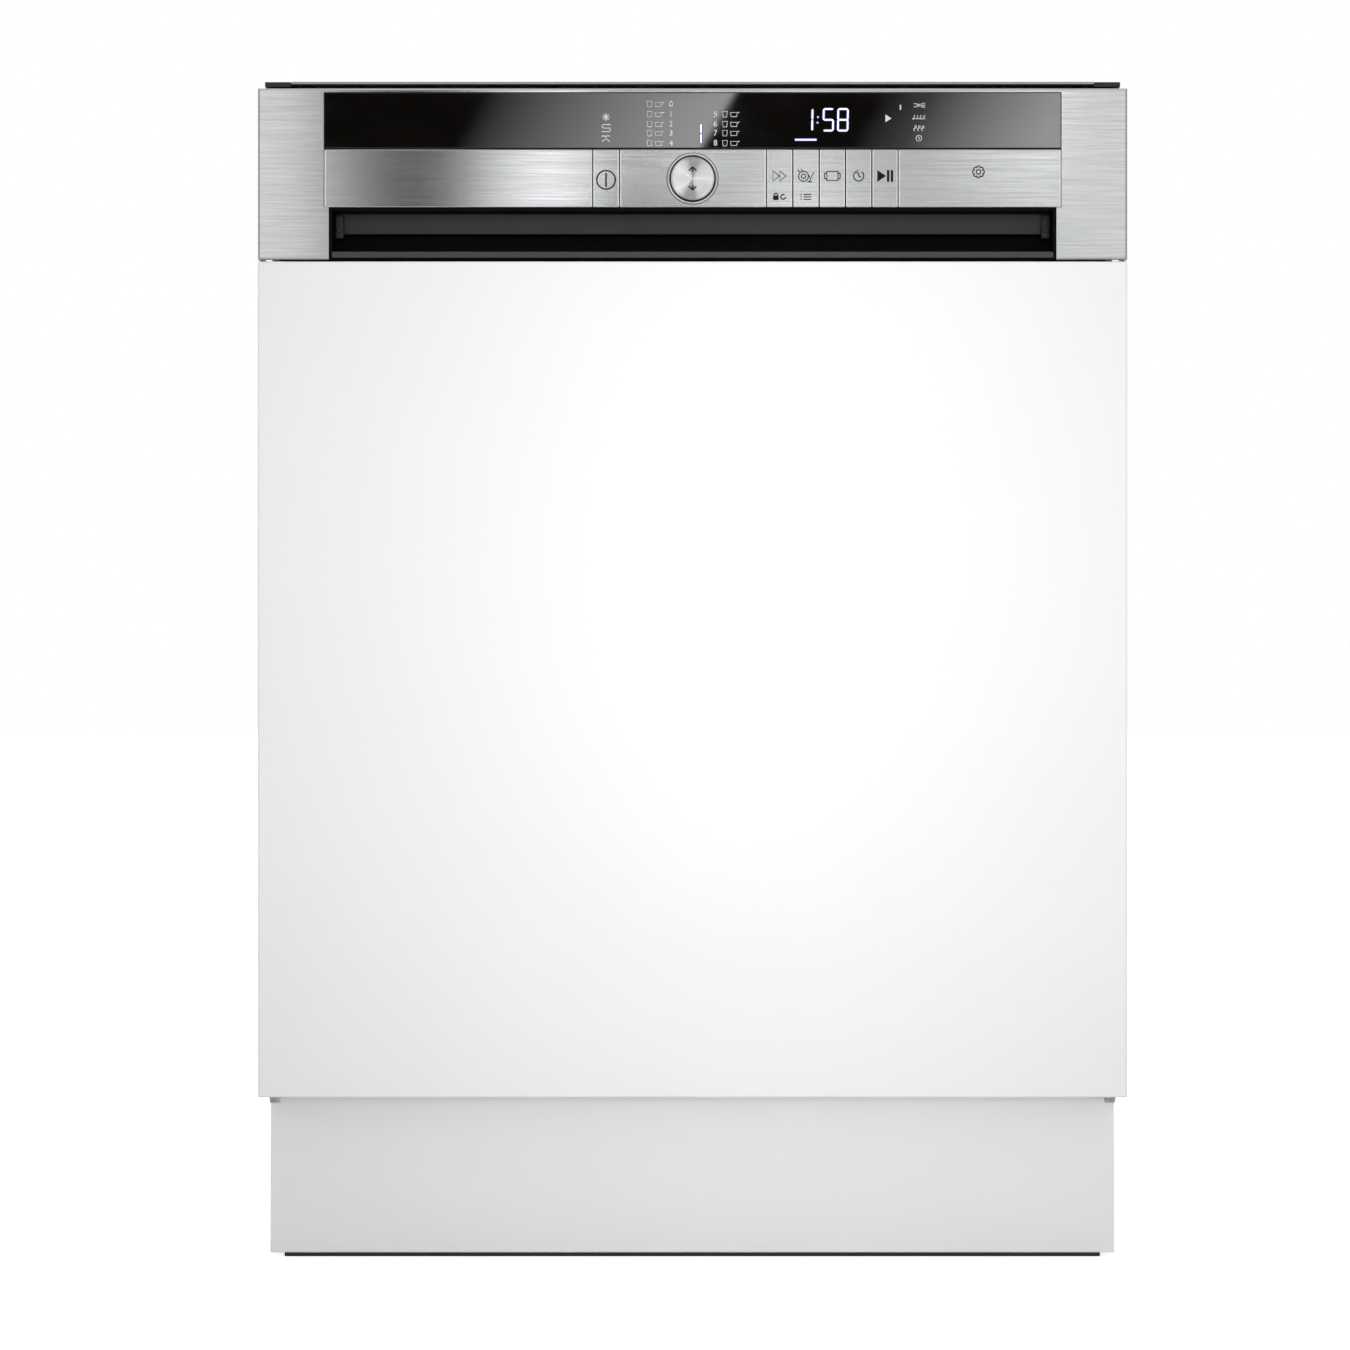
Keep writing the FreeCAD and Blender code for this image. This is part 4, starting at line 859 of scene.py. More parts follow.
@dataclass
class Console:
    """The brushed steel console with its glass, keys, rocker, prints and grip recess."""

    strip_face: float = -285.0
    glass_face: float = -283.3
    key_low: float = 50.8
    key_pitch: float = 18.1
    icon_level: float = 749.5
    small_icon_level: float = 735.1
    power_place: Pair = (-59.5, 746.8)
    gear_place: Pair = (196.5, 752.3)
    left_rows: tuple[float, ...] = (799.0, 792.1, 785.3, 779.1, 772.2)
    number_columns: Pair = (-14.8, 15.7)
    warning_column: float = -59.5
    option_column: float = 155.6
    rocker_level: float = 747.6
    rocker_face: float = -287.4
    rocker_back: float = -276.0
    rocker_radius: float = 15.1
    recess_half: float = 246.0

    def build(self) -> None:
        """Dresses the console and adds its small pieces."""
        for node in ("console_fascia", "control_strips", "power_key", "tablet_key", "load_key", "tray_key",
                     "delay_key", "start_key"):
            dress(node, CONSOLE_STEEL)
        dress("display_glass", BLACK_GLASS)
        # The recess is painted darker than black plastic: painted shade in the grip cavity.
        dress("handle_recess", RECESS_BLACK_PAINTED_SHADE)
        dress("console_housing", BLACK_PLASTIC)
        dress("control_module", PART_GREY)
        self.rocker()
        self.bright_edges()
        self.key_prints()
        self.display_prints()
        self.lit_figures()
        self.recess()

    def key_middle(self, number: int) -> float:
        """The middle of a function key, counted from the left."""
        return self.key_low + self.key_pitch * (number + 0.5)

    def rocker(self) -> None:
        """The spun disc, with painted reflection wedges and its two arrow marks, the chrome ring round it,
        and a painted shadow line round the ring.
        """
        depth = self.rocker_face - self.rocker_back
        radius = self.rocker_radius
        profile = [(0, depth + 0.7), (radius * 0.5, depth + 0.6), (radius * 0.8, depth + 0.25),
                   (radius - 1.4, depth + 0.05), (radius - 0.7, depth + 0.15), (radius - 0.2, depth + 0.6),
                   (radius, depth + 1.3), (radius, -6), (3, -6), (3, 4), (0, 4)]
        centre = (0.0, self.rocker_back * MM, self.rocker_level * MM)
        # This finish paints bright and dark wedges into the disc's colour: a painted reflection.
        finish = SpunMetal("spun_steel_painted_sheen", (0.84, 0.84, 0.84), centre)
        disc = Shape().lathe(profile, at(0, self.rocker_back, self.rocker_level), Axis.Y)
        disc.finish("rocker_disc", finish, "program_rocker", "program_rocker", "program_rocker", sharp=50)
        marks = Stencil(self.rocker_face + 0.5, 1.1, 0.55)
        for side in (-1, 1):
            tip = self.rocker_level + side * 8.0
            marks.lines([(-2.6, tip - side * 2.7), (0, tip), (2.6, tip - side * 2.7)],
                        [(0, tip - side * 0.6), (0, tip - side * 3.4)])
        marks.finish("rocker_arrows", BLACK_INK, "program_rocker", "program_rocker")
        face = self.strip_face
        ring = [(16.05, face + 3), (16.05, face - 0.9), (16.25, face - 1.25), (16.7, face - 1.35),
                (17.2, face - 1.1), (17.45, face - 0.5), (17.5, face + 0.05), (17.0, face + 0.1),
                (16.6, face + 0.1), (16.5, face + 3), (16.05, face + 3)]
        bezel = Shape().lathe(ring, at(0, 0, self.rocker_level), Axis.Y)
        bezel.finish("rocker_ring", CHROME, "door", "control_strips", sharp=60)
        # Painted shadow: a thin dark grey line printed just outside the chrome ring stands for the shade in
        # the gap round it.
        shadow_ring = Stencil(face, 0.5, 0.03).lines(arc(0, self.rocker_level, 17.75))
        shadow_ring.finish("rocker_shadow_ring", SHADOW_LINE_INK, "door", "control_strips")

    def bright_edges(self) -> None:
        """Painted highlights down both sides of every key and strip: thin bright polished lines on the flat
        face that stand for the glint of their chamfered edges.
        """
        rows = {"power_key": (-68.6, -50.4)}
        for number, node in enumerate(("tablet_key", "load_key", "tray_key", "delay_key", "start_key")):
            middle = self.key_middle(number)
            rows[node] = (middle - 9.0, middle + 9.0)
        for node, (left, right) in rows.items():
            self.edge_lines(node, node, node, (left + 0.75, right - 0.75))
        ends = (-252.4, -69.6, -49.4, 49.8, self.key_middle(4) + 10.0, 252.4)
        self.edge_lines("strip", "door", "control_strips", ends)

    def edge_lines(self, name: str, body: str, slot: str, places: tuple[float, ...]) -> None:
        """Upright painted highlight lines on the strip's face.

        Args:
            name: the start of the piece's name.
            body: the body that they move with.
            slot: the record's material slot.
            places: where they stand along X.
        """
        edges = Stencil(self.strip_face, 0.6, 0.03)
        for x in places:
            edges.lines([(x, 728.8), (x, 767.0)])
        edges.finish(name + "_edges", EDGE_HIGHLIGHT_STEEL, body, slot)

    def key_prints(self) -> None:
        """The marks on the six keys and on the strip, each riding with what it is printed on."""
        face, level, small = self.strip_face, self.icon_level, self.small_icon_level
        x, z = self.power_place
        power = Stencil(face, 1.15).lines(arc(x, z, 6.4), [(x, z - 4.8), (x, z + 4.8)])
        power.finish("power_mark", BLACK_INK, "power_key", "power_key")
        x = self.key_middle(0)
        tablet = Stencil(face, 1.0)
        for left in (x - 4.6, x + 0.1):
            tablet.lines([(left, level - 3.5), (left + 4.3, level), (left, level + 3.5), (left, level - 3.5)])
        tablet.lines(arc(x - 2.6, small + 1.2, 1.2, 0, 180))
        tablet.solid(frame_of(x - 2.6, small - 0.6, 3.8, 3.2)[:-1])
        tablet.lines(arc(x + 2.4, small, 1.6, 60, 300))
        tablet.finish("tablet_key_mark", BLACK_INK, "tablet_key", "tablet_key")
        x = self.key_middle(1)
        load = Stencil(face, 0.8).lines(arc(x - 1.7, level - 0.2, 3.4), arc(x - 1.7, level - 0.2, 1.5))
        load.lines([(x + 1.2, level + 1.0), (x + 3.2, level - 1.4), (x + 5.4, level + 2.4)],
                   [(x + 3.2, level - 1.4), (x + 2.4, level - 4.0)],
                   [(x + 0.8, level - 4.0), (x + 4.0, level - 4.0)],
                   [(x - 6.0, level + 4.2), (x - 4.2, level + 2.8)],
                   [(x - 3.2, level + 4.8), (x - 2.6, level + 3.4)])
        for line in (-1.7, 0, 1.7):
            load.lines([(x - 1.6, small + line), (x + 3.6, small + line)], [(x - 3.8, small + line),
                                                                          (x - 2.9, small + line)])
        load.finish("load_key_mark", BLACK_INK, "load_key", "load_key")
        x = self.key_middle(2)
        tray = Stencil(face, 1.0).lines(frame_of(x, level, 7.6, 6.2))
        for side in (-1, 1):
            near, far = x + side * 3.8, x + side * 5.3
            tray.lines([(near, level + 2.2), (far, level + 1.7), (far, level - 1.7), (near, level - 2.2)])
        tray.finish("tray_key_mark", BLACK_INK, "tray_key", "tray_key")
        x = self.key_middle(3)
        delay = Stencil(face, 0.9).lines(arc(x, level, 3.5, 130, 285), [(x, level + 2.2), (x, level),
                                                                      (x + 1.6, level - 0.9)])
        delay.lines([(x - 0.4, level + 3.9), (x - 2.2, level + 2.9), (x - 0.6, level + 1.9)])
        delay.finish("delay_key_mark", BLACK_INK, "delay_key", "delay_key")
        x = self.key_middle(4)
        start = Stencil(face, 0.5).solid([(x - 5.3, level - 4.1), (x + 0.7, level), (x - 5.3, level + 4.1)])
        for bar in (x + 1.3, x + 3.9):
            start.solid(frame_of(bar + 0.85, level, 1.7, 8.0)[:-1])
        start.finish("start_key_mark", BLACK_INK, "start_key", "start_key")
        x, z = self.gear_place
        gear = Stencil(face, 0.9).lines(arc(x, z, 1.5))
        for number in range(8):
            angle = math.radians(45 * number)
            tooth = (x + 3.0 * math.cos(angle), z + 3.0 * math.sin(angle))
            gear.lines(arc(*tooth, 1.1, 45 * number - 110, 220))
        gear.finish("efficiency_mark", BLACK_INK, "door", "control_strips")

    def display_prints(self) -> None:
        """The white marks on the glass: the option column, the program numbers and the phase marks."""
        face = self.glass_face
        marks = Stencil(face, 0.62)
        x = self.warning_column
        for turn in range(4):
            angle = math.radians(45 * turn)
            reach = (2.6 * math.cos(angle), 2.6 * math.sin(angle))
            marks.lines([(x - reach[0], 790.1 - reach[1]), (x + reach[0], 790.1 + reach[1])])
        marks.lines([(x + 3.3, 785.0), (x - 1.5, 785.0)] + arc(x - 1.5, 783.8, 1.2, 90, 180)
                    + [(x + 1.9, 782.6)] + arc(x + 1.9, 781.4, 1.2, 90, -180) + [(x - 3.1, 780.2)])
        marks.lines([(x - 3.1, 777.2), (x + 3.1, 777.2)], [(x, 777.2), (x, 775.2)],
                    [(x - 2.7, 773.4), (x, 775.2), (x + 2.7, 773.4)])
        for number, level in enumerate(self.left_rows):
            marks.figures(str(number), self.number_columns[0], level, 4.0)
        for number, level in enumerate(self.left_rows[1:], start=5):
            marks.figures(str(number), self.number_columns[1], level, 4.0)
        marks.solid([(132.6, 786.6), (136.7, 789.3), (132.6, 792.0)])
        marks.solid([(142.4, 795.2), (143.4, 795.2), (143.4, 798.6), (142.4, 798.6)])
        marks.finish("display_figures", WHITE_INK, "door", "display_glass")
        icons = Stencil(face, 0.6)
        for level in self.left_rows:
            self.pot(icons, -23.4, level)
            self.glass_mark(icons, -29.6, level)
        for level in self.left_rows[1:]:
            self.glass_mark(icons, 22.2, level)
            self.pot(icons, 28.4, level)
        self.option_marks(icons)
        icons.finish("display_icons", PALE_INK, "door", "display_glass")

    def pot(self, print_on: Stencil, x: float, z: float) -> None:
        """A small saucepan mark."""
        print_on.lines([(x - 2.4, z + 1.2), (x - 1.9, z - 1.6), (x + 1.9, z - 1.6), (x + 2.4, z + 1.2),
                        (x - 2.4, z + 1.2)], [(x + 2.4, z + 1.0), (x + 3.8, z + 1.4)])

    def glass_mark(self, print_on: Stencil, x: float, z: float) -> None:
        """A small drinking glass mark."""
        print_on.lines([(x - 1.7, z + 1.9), (x - 1.2, z - 1.9), (x + 1.2, z - 1.9), (x + 1.7, z + 1.9),
                        (x - 1.7, z + 1.9)])

    def option_marks(self, print_on: Stencil) -> None:
        """The four option marks at the right: spray, tines, drying waves and clock.

        Args:
            print_on: the stencil that takes them.
        """
        x = self.option_column
        print_on.lines([(x - 3.6, 799.4), (x - 1.2, 799.4), (x - 1.2, 797.2), (x - 3.6, 797.2)],
                       arc(x, 798.3, 0.7))
        print_on.lines(*[[(x + 1.2, 798.3 + rise), (x + 4.4, 798.3 + rise * 1.6)] for rise in (-0.9, 0, 0.9)])
        print_on.lines([(x - 4.6, 789.0), (x + 4.6, 789.0)], *[[(x + tine, 789.0), (x + tine + 0.8, 791.6)]
                                                              for tine in (-3.6, -1.4, 0.8, 3.0)])
        for wave in (-2.6, 0, 2.6):
            print_on.lines(arc(x + wave, 783.4, 0.9, -90, 180) + arc(x + wave, 781.6, 0.9, 90, 180)[1:])
        print_on.lines(arc(x, 775.6, 1.9), [(x, 776.8), (x, 775.6), (x + 0.9, 775.0)])

    def segment(self, start: Pair, end: Pair, half: float) -> list[Pair]:
        """The six-sided outline of one display segment.

        Args:
            start: one tip.
            end: the other tip.
            half: half its width.

        Returns:
            The six corners.
        """
        run = Vector(end) - Vector(start)
        along, across = run.normalized() * half, Vector((-run.y, run.x)).normalized() * half
        first, last = Vector(start), Vector(end)
        points = [first, first + along + across, last - along + across, last, last - along - across,
                  first + along - across]
        return [(point.x, point.y) for point in points]

    def digit(self, left: float, low: float, wide: float, tall: float, code: str,
              half: float) -> list[list[Pair]]:
        """The lit segments of one figure.

        Args:
            left: the left edge of its foot.
            low: the height of its foot.
            wide: its width.
            tall: its height.
            code: the letters of the lit segments, a at the top and on clockwise, g in the middle.
            half: half the width of a stroke.

        Returns:
            An outline for each lit segment.
        """
        lean = 0.02
        corner = {(side, row): (left + side * wide + lean * row * tall / 2, low + row * tall / 2)
                  for side in (0, 1) for row in (0, 1, 2)}
        ends = {"a": ((0, 2), (1, 2)), "b": ((1, 2), (1, 1)), "c": ((1, 1), (1, 0)), "d": ((0, 0), (1, 0)),
                "e": ((0, 1), (0, 0)), "f": ((0, 2), (0, 1)), "g": ((0, 1), (1, 1))}
        return [self.segment(corner[ends[letter][0]], corner[ends[letter][1]], half) for letter in code]

    def lit_figures(self) -> None:
        """The remaining time and the program bar, lit, with a violet glow round them."""
        for name, finish, half, lift in (("display_glow", HALO_LIGHT, 1.0, 0.02),
                                         ("display_lit", WHITE_LIGHT, 0.5, 0.07)):
            lit = Stencil(self.glass_face, 0.5, lift)
            for left, code in ((75.6, "bc"), (89.9, "acdfg"), (99.9, "abcdefg")):
                lit.solid(*self.digit(left, 780.9, 6.6, 14.8, code, half))
            for level in (786.3, 790.1):
                lit.solid(arc(85.9 + 0.3 * (level > 788), level, half * 0.85)[:-1])
            lit.solid(frame_of(77.8, 774.6, 14.8 + (half - 0.6), 2 * half)[:-1])
            for level in (775.4, 782.2):
                lit.solid(frame_of(5.8, level, 2 * half, 6.0 + (half - 0.6))[:-1])
            lit.finish(name, finish, "door", "display_glass")

    def recess(self) -> None:
        """The grained ledge and lip of the grip recess, painted lighter than the recess's black for the light
        on them, and the fixings at its two ends.
        """
        half = self.recess_half
        # The ledge's and the lip's greys are painted light on the recess's black moulding.
        ledge = Shape().box((-half, -262.9, 711.6), (half, -261.8, 725.4), 0.5)
        ledge.finish("recess_ledge", LEDGE_GREY_PAINTED_LIGHT, "door", "handle_recess")
        lip = Shape().box((-248.6, -282.8, 693.3), (248.6, -279.0, 697.9), 1.2, 4)
        lip.finish("recess_lip", LIP_GREY_PAINTED_LIGHT, "door", "handle_recess")
        fixings = Shape()
        for x in (-247.0, 241.0):
            fixings.box((x, -268.0, 708.0), (x + 6.0, -262.5, 724.5), 0.8)
        for x in (-244.0, 244.0):
            fixings.bar(at(x, -269.2, 714.0), at(x, -267.4, 714.0), 2.1, 24, 0.4)
        fixings.finish("recess_fixings", BRACKET_BLACK, "door", "handle_recess")


# ---- the door ----

@dataclass
class Door:
    """The furniture panel, the steel pan and the dispenser in it."""

    pan_face: float = -225.0
    bead_half: float = 226.0
    bead_low: float = 176.0
    bead_top: float = 752.0
    box_face: float = -222.0
    cap_middle: Pair = (54.0, 412.0)
    cap_radius: float = 22.0

    def build(self) -> None:
        """Dresses the door and adds its pressed bead and the dispenser's grips."""
        dress("furniture_panel", WHITE_LACQUER)
        dress("outer_door_panel", ZINC_SHEET)
        dress("inner_door_panel", DOOR_STEEL)
        dress("dispenser_housing", PART_GREY)
        dress("detergent_lid", SPRAY_GREY)
        dress("rinse_aid_cap", SPRAY_GREY)
        dress("hinge_arms", HINGE_STEEL)
        dress("latch_catch", VALVE_WHITE)
        self.bead()
        self.dispenser()

    def bead(self) -> None:
        """The bead pressed into the pan round the dispenser, and two crosswise ones below it."""
        corners = [at(-self.bead_half, 0, self.bead_low), at(self.bead_half, 0, self.bead_low),
                   at(self.bead_half, 0, self.bead_top), at(-self.bead_half, 0, self.bead_top)]
        pressed = Shape().wires([rounded(corners, 30, 8, True)], 4.0, True, 3)
        for level in (238.0, 286.0):
            pressed.wires([[at(x, 0, level) for x in (-170, -166, 166, 170)]], 4.0, False, 3)
        bmesh.ops.scale(pressed.mesh, vec=(1, 0.45, 1), verts=pressed.mesh.verts[:])
        bmesh.ops.translate(pressed.mesh, vec=(0, self.pan_face, 0), verts=pressed.mesh.verts[:])
        pressed.finish("pan_beads", DOOR_STEEL, "door", "inner_door_panel", sharp=60)

    def dispenser(self) -> None:
        """The ribs on the sliding lid, the turn grip on the filler cap and its dosing scale."""
        ribs = Shape()
        for step in range(7):
            x = -54 + 8 * step
            ribs.box((x, self.box_face + 2.9, 436), (x + 2.4, self.box_face + 3.8, 470), 0.4, 2)
        ribs.finish("lid_ribs", PART_GREY, "detergent_lid", "detergent_lid")
        x, z = self.cap_middle
        grip = Shape().box((x - 17, self.box_face + 2.8, z - 3), (x + 17, self.box_face + 4.6, z + 3), 1.2)
        rim = [(self.cap_radius - 2.2, 2.6), (self.cap_radius - 1.9, 3.4), (self.cap_radius - 0.9, 3.6),
               (self.cap_radius - 0.1, 3.2), (self.cap_radius - 0.1, 2.6), (self.cap_radius - 2.2, 2.6)]
        grip.lathe(rim, at(x, self.box_face, z), Axis.Y, 72)
        grip.finish("rinse_cap_grip", PART_GREY, "rinse_aid_cap", "rinse_aid_cap")
        scale = Shape()
        for number in range(7):
            angle = math.radians(30 + 20 * number)
            start = at(x + 25 * math.cos(angle), self.box_face, z + 25 * math.sin(angle))
            end = at(x + 27.5 * math.cos(angle), self.box_face, z + 27.5 * math.sin(angle))
            scale.bar(start, end, 0.5, 12)
        scale.finish("rinse_scale", WHITE_INK, "door", "dispenser_housing")


# ---- the cabinet ----

@dataclass
class Cabinet:
    """The base, the casing, the plinth, the feet and the balance springs."""

    side_face: float = 294.4
    mat_thick: float = 2.2
    bead_levels: Triple = (190.0, 250.0, 740.0)
    plinth_half: float = 285.0
    foot_places: tuple[tuple[str, float, float], ...] = (
        ("foot_front_left", -255.0, -185.0), ("foot_front_right", 255.0, -185.0), ("foot_rear", 0.0, 240.0))
    thread_pitch: float = 2.5
    spring_place: Triple = (276.0, -150.0, 42.0)
    spring_coils: int = 15

    def build(self) -> None:
        """Dresses the cabinet and adds its mats, the plinth seal that also stands for a shadow line, feet and
        springs.
        """
        for node, finish in (("base_tray", TRAY_BLACK), ("side_panels", ZINC_SHEET),
                             ("rear_panel", ZINC_SHEET), ("top_cover", ZINC_SHEET), ("casing_screws", ZINC),
                             ("worktop_trim", TRIM_ALUMINIUM), ("worktop_brackets", BRACKET_BLACK),
                             ("plinth", PLINTH_LACQUER), ("hinge_brackets", HINGE_STEEL),
                             ("door_strike", HINGE_STEEL), ("water_softener", PART_GREY),
                             ("circulation_pump", PART_GREY), ("pump_rotor", VALVE_WHITE),
                             ("water_inlet_valve", VALVE_WHITE), ("drain_spigot", PART_GREY),
                             ("power_inlet", BLACK_PLASTIC)):
            dress(node, finish)
        self.mats()
        self.side_beads()
        self.plinth_seal()
        self.springs()
        for name, x, y in self.foot_places:
            self.foot(name, x, y)

    def mats(self) -> None:
        """The felt mats on the casing that keep the noise in."""
        outer = self.side_face + self.mat_thick
        mats = Shape().box((self.side_face - 0.4, -150, 330), (outer, 215, 700), 0.9, 2).mirror_x()
        mats.finish("side_mats", FELT_GREY, "root", "side_panels")
        top = Shape().box((-230, -140, 811.2), (230, 240, 813.0), 0.8, 2)
        top.finish("top_mat", FELT_GREY, "root", "top_cover")

    def side_beads(self) -> None:
        """The stiffening beads pressed into the side sheets."""
        beads = Shape()
        for level in self.bead_levels:
            beads.wires([[at(0, y, level) for y in (-185, -180, 245, 250)]], 5.0, False, 3)
        bmesh.ops.scale(beads.mesh, vec=(0.34, 1, 1), verts=beads.mesh.verts[:])
        bmesh.ops.translate(beads.mesh, vec=(self.side_face, 0, 0), verts=beads.mesh.verts[:])
        beads.mirror_x().finish("side_beads", ZINC_SHEET, "root", "side_panels", sharp=60)

    def plinth_seal(self) -> None:
        """The black lip under the plinth board that closes the gap to the floor; its black strip also stands
        in for the contact shadow under the plinth.
        """
        half = self.plinth_half
        seal = Shape().box((-half, -231.0, 0.2), (half, -224.5, 3.6), 0.7)
        seal.box((-half, -229.5, 3.2), (half, -226.5, 9), 0.4)
        seal.finish("plinth_seal", SEAL_RUBBER, "root", "plinth")

    def springs(self) -> None:
        """The helical springs that balance the door, with their hooks."""
        x, y, low = self.spring_place
        coil, radius, wire = 62.0, 6.9, 1.1
        count = self.spring_coils * 16
        helix = [at(x + radius * math.cos(step * math.pi / 8), y + radius * math.sin(step * math.pi / 8),
                    low + coil * step / count) for step in range(count + 1)]
        upper = [at(x, y, low + coil + 3), at(x, y, 128.0), at(x, y + 3.5, 130.0)]
        lower = [at(x, y + 3.5, 28.0), at(x, y, 30.0), at(x, y, low - 3)]
        Shape().wires([lower + helix + upper], wire, False, 2).mirror_x().finish(
            "balance_springs", SPRING_STEEL, "root", "door_springs", "door_springs", sharp=70)

    def foot(self, name: str, x: float, y: float) -> None:
        """A levelling foot: a dished pad with a spanner hexagon under a threaded spindle.

        Args:
            name: the CAD node and body of the foot.
            x: its place across the machine.
            y: its place along the machine.
        """
        pad = [(0, 0), (17.6, 0), (18.6, 0.5), (19.0, 1.4), (19.0, 3.4), (18.3, 4.6), (16.5, 5.2),
               (12.2, 5.6), (0, 5.6)]
        shape = Shape().lathe(pad, at(x, y, 0), Axis.Z, 64)
        shape.bar(at(x, y, 5.0), at(x, y, 15.0), 11.0, 6, 0.8)
        spindle = [(0, 14.6)]
        core, crest, pitch = 5.1, 5.95, self.thread_pitch
        for turn in range(30):
            level = 15 + pitch * turn
            spindle += [(core, level), (crest, level + pitch * 0.4), (crest, level + pitch * 0.6)]
        spindle += [(core, 90.0), (0, 90.0)]
        shape.lathe(spindle, at(x, y, 0), Axis.Z, 32)
        shape.finish(name + "_threaded", FOOT_NYLON, name, name, name, sharp=35)


# ---- the washing space ----

@dataclass
class Tub:
    """The steel tub with its seal, rails, filters, pipes and caps."""

    rail_level: float = 562.0
    channel_half: float = 10.5
    screw_places: Triple = (-140.0, 0.0, 140.0)
    bead_levels: tuple[float, ...] = (355.0, 400.0, 660.0, 705.0)
    wall_face: float = 262.0
    sump: Pair = (100.0, 70.0)
    rib_level: float = 154.2
    rib_ends: Pair = (34.0, 61.5)
    ribs: int = 8

    def build(self) -> None:
        """Dresses the tub's parts and adds the rail screws, the wall beads and the filter's frame."""
        for node, finish in (("tub", TUB_STEEL), ("door_seals", SEAL_RUBBER), ("sump", PART_GREY),
                             ("coarse_filter", FILTER_STEEL), ("cylinder_filter", SPRAY_GREY),
                             ("salt_cap", CAP_BLUE), ("feed_pipe", SPRAY_GREY), ("rack_rails", RAIL_STEEL),
                             ("rail_slides", RAIL_STEEL)):
            dress(node, finish)
        self.rail_screws()
        self.tub_beads()
        self.filter_ring()

    def rail_screws(self) -> None:
        """The screws above and below the upper rack's channels."""
        low, high = self.rail_level - self.channel_half, self.rail_level + self.channel_half
        screws = Shape()
        for y in self.screw_places:
            for z in (low - 5.5, high + 5.5):
                screws.bar(at(262.3, y, z), at(260.2, y, z), 3.4, 24, 0.7)
        screws.mirror_x().finish("rail_screws", CHROME, "root", "rack_rails", sharp=45)

    def tub_beads(self) -> None:
        """The beads pressed into the side walls of the tub."""
        beads = Shape()
        for level in self.bead_levels:
            beads.wires([[at(0, y, level) for y in (-150, -146, 176, 180)]], 5.0, False, 3)
        bmesh.ops.scale(beads.mesh, vec=(0.3, 1, 1), verts=beads.mesh.verts[:])
        bmesh.ops.translate(beads.mesh, vec=(self.wall_face, 0, 0), verts=beads.mesh.verts[:])
        beads.mirror_x().finish("tub_beads", TUB_STEEL, "root", "tub", sharp=60)

    def filter_ring(self) -> None:
        """The moulded rings round the coarse filter and its middle, and the ribs between them."""
        x, y = self.sump
        ring = [(61.0, 153.9), (62.0, 155.2), (64.0, 155.3), (65.5, 154.2), (65.5, 151.6), (61.0, 151.6),
                (61.0, 153.9)]
        shape = Shape().lathe(ring, at(x, y, 0), Axis.Z, 96)
        inner = [(31.2, 153.9), (32.0, 155.0), (34.0, 155.0), (34.8, 153.9), (31.2, 153.9)]
        shape.lathe(inner, at(x, y, 0), Axis.Z, 72)
        for number in range(self.ribs):
            angle = 2 * math.pi * (number + 0.5) / self.ribs
            start, end = [at(x + far * math.cos(angle), y + far * math.sin(angle), self.rib_level)
                          for far in self.rib_ends]
            shape.bar(start, end, 0.9, 12)
        shape.finish("filter_frame", SPRAY_GREY, "root", "coarse_filter", sharp=45)


# ---- the racks ----

@dataclass
class Basket:
    """A rack of coated wires: bent wires both ways, hoops round its walls and rows of tines."""

    floor: float
    rim: float
    half: float = 246.2
    front: float = -202.2
    back: float = 204.2
    wire: float = 1.7
    columns: int = 17
    rows: int = 13
    bend: float = 16.0
    corner: float = 22.0

    def bent(self, across: bool, number: int, count: int) -> list[Vector]:
        """One wire that runs down a wall, over the floor and up the other wall.

        Args:
            across: True if it runs from side to side.
            number: its place in the row.
            count: how many there are.

        Returns:
            The points of the wire.
        """
        share = (number + 1) / (count + 1)
        if across:
            y = self.front + (self.back - self.front) * share
            corners = [at(-self.half, y, self.rim), at(-self.half, y, self.floor),
                       at(self.half, y, self.floor), at(self.half, y, self.rim)]
        else:
            x = self.half * (2 * share - 1)
            low = self.floor + 2 * self.wire
            corners = [at(x, self.front, self.rim), at(x, self.front, low), at(x, self.back, low),
                       at(x, self.back, self.rim)]
        return rounded(corners, self.bend, 5)

    def hoop(self, level: float, grow: float = 0.0) -> list[Vector]:
        """A closed hoop round the walls at one height.

        Args:
            level: its height.
            grow: how far it stands outside the wires.

        Returns:
            The points of the hoop.
        """
        half, front, back = self.half + grow, self.front - grow, self.back + grow
        corners = [at(x, y, level) for x, y in ((-half, front), (half, front), (half, back), (-half, back))]
        return rounded(corners, self.corner, 8, True)

    def shape(self) -> Shape:
        """All the wires of the basket.

        Returns:
            The wires as a shape.
        """
        wires = [self.bent(False, number, self.columns) for number in range(self.columns)]
        wires += [self.bent(True, number, self.rows) for number in range(self.rows)]
        middle = self.floor + (self.rim - self.floor) * 0.52
        made = Shape().wires(wires, self.wire, False, 2)
        made.wires([self.hoop(middle)], self.wire, True, 2)
        return made.wires([self.hoop(self.rim - 0.6)], self.wire + 0.8, True, 3)

    def tines(self, shape: Shape, left: float, right: float, y: float, count: int, lean: float = 0.0,
              height: float = 70.0) -> None:
        """Adds a row of upright tines on a bar.

        Args:
            shape: where the tines go.
            left: the first tine.
            right: the last tine.
            y: the place of the row.
            count: how many tines.
            lean: how far their tips are set back.
            height: how tall they are.
        """
        half = self.wire
        foot = self.floor + 4 * half
        top = foot + height
        paths = [[at(left, y, foot), at(right, y, foot)]]
        for number in range(count):
            x = left + half + (right - left - 2 * half) * number / (count - 1)
            knee = at(x, y, foot + height * 0.55)
            paths.append(rounded([at(x, y, foot), knee, at(x, y + lean, top - 1.5)], 30, 3))
            paths.append([at(x, y + lean, top - 3.5), at(x, y + lean, top)])
        shape.wires(paths, self.wire - 0.1, False, 2)


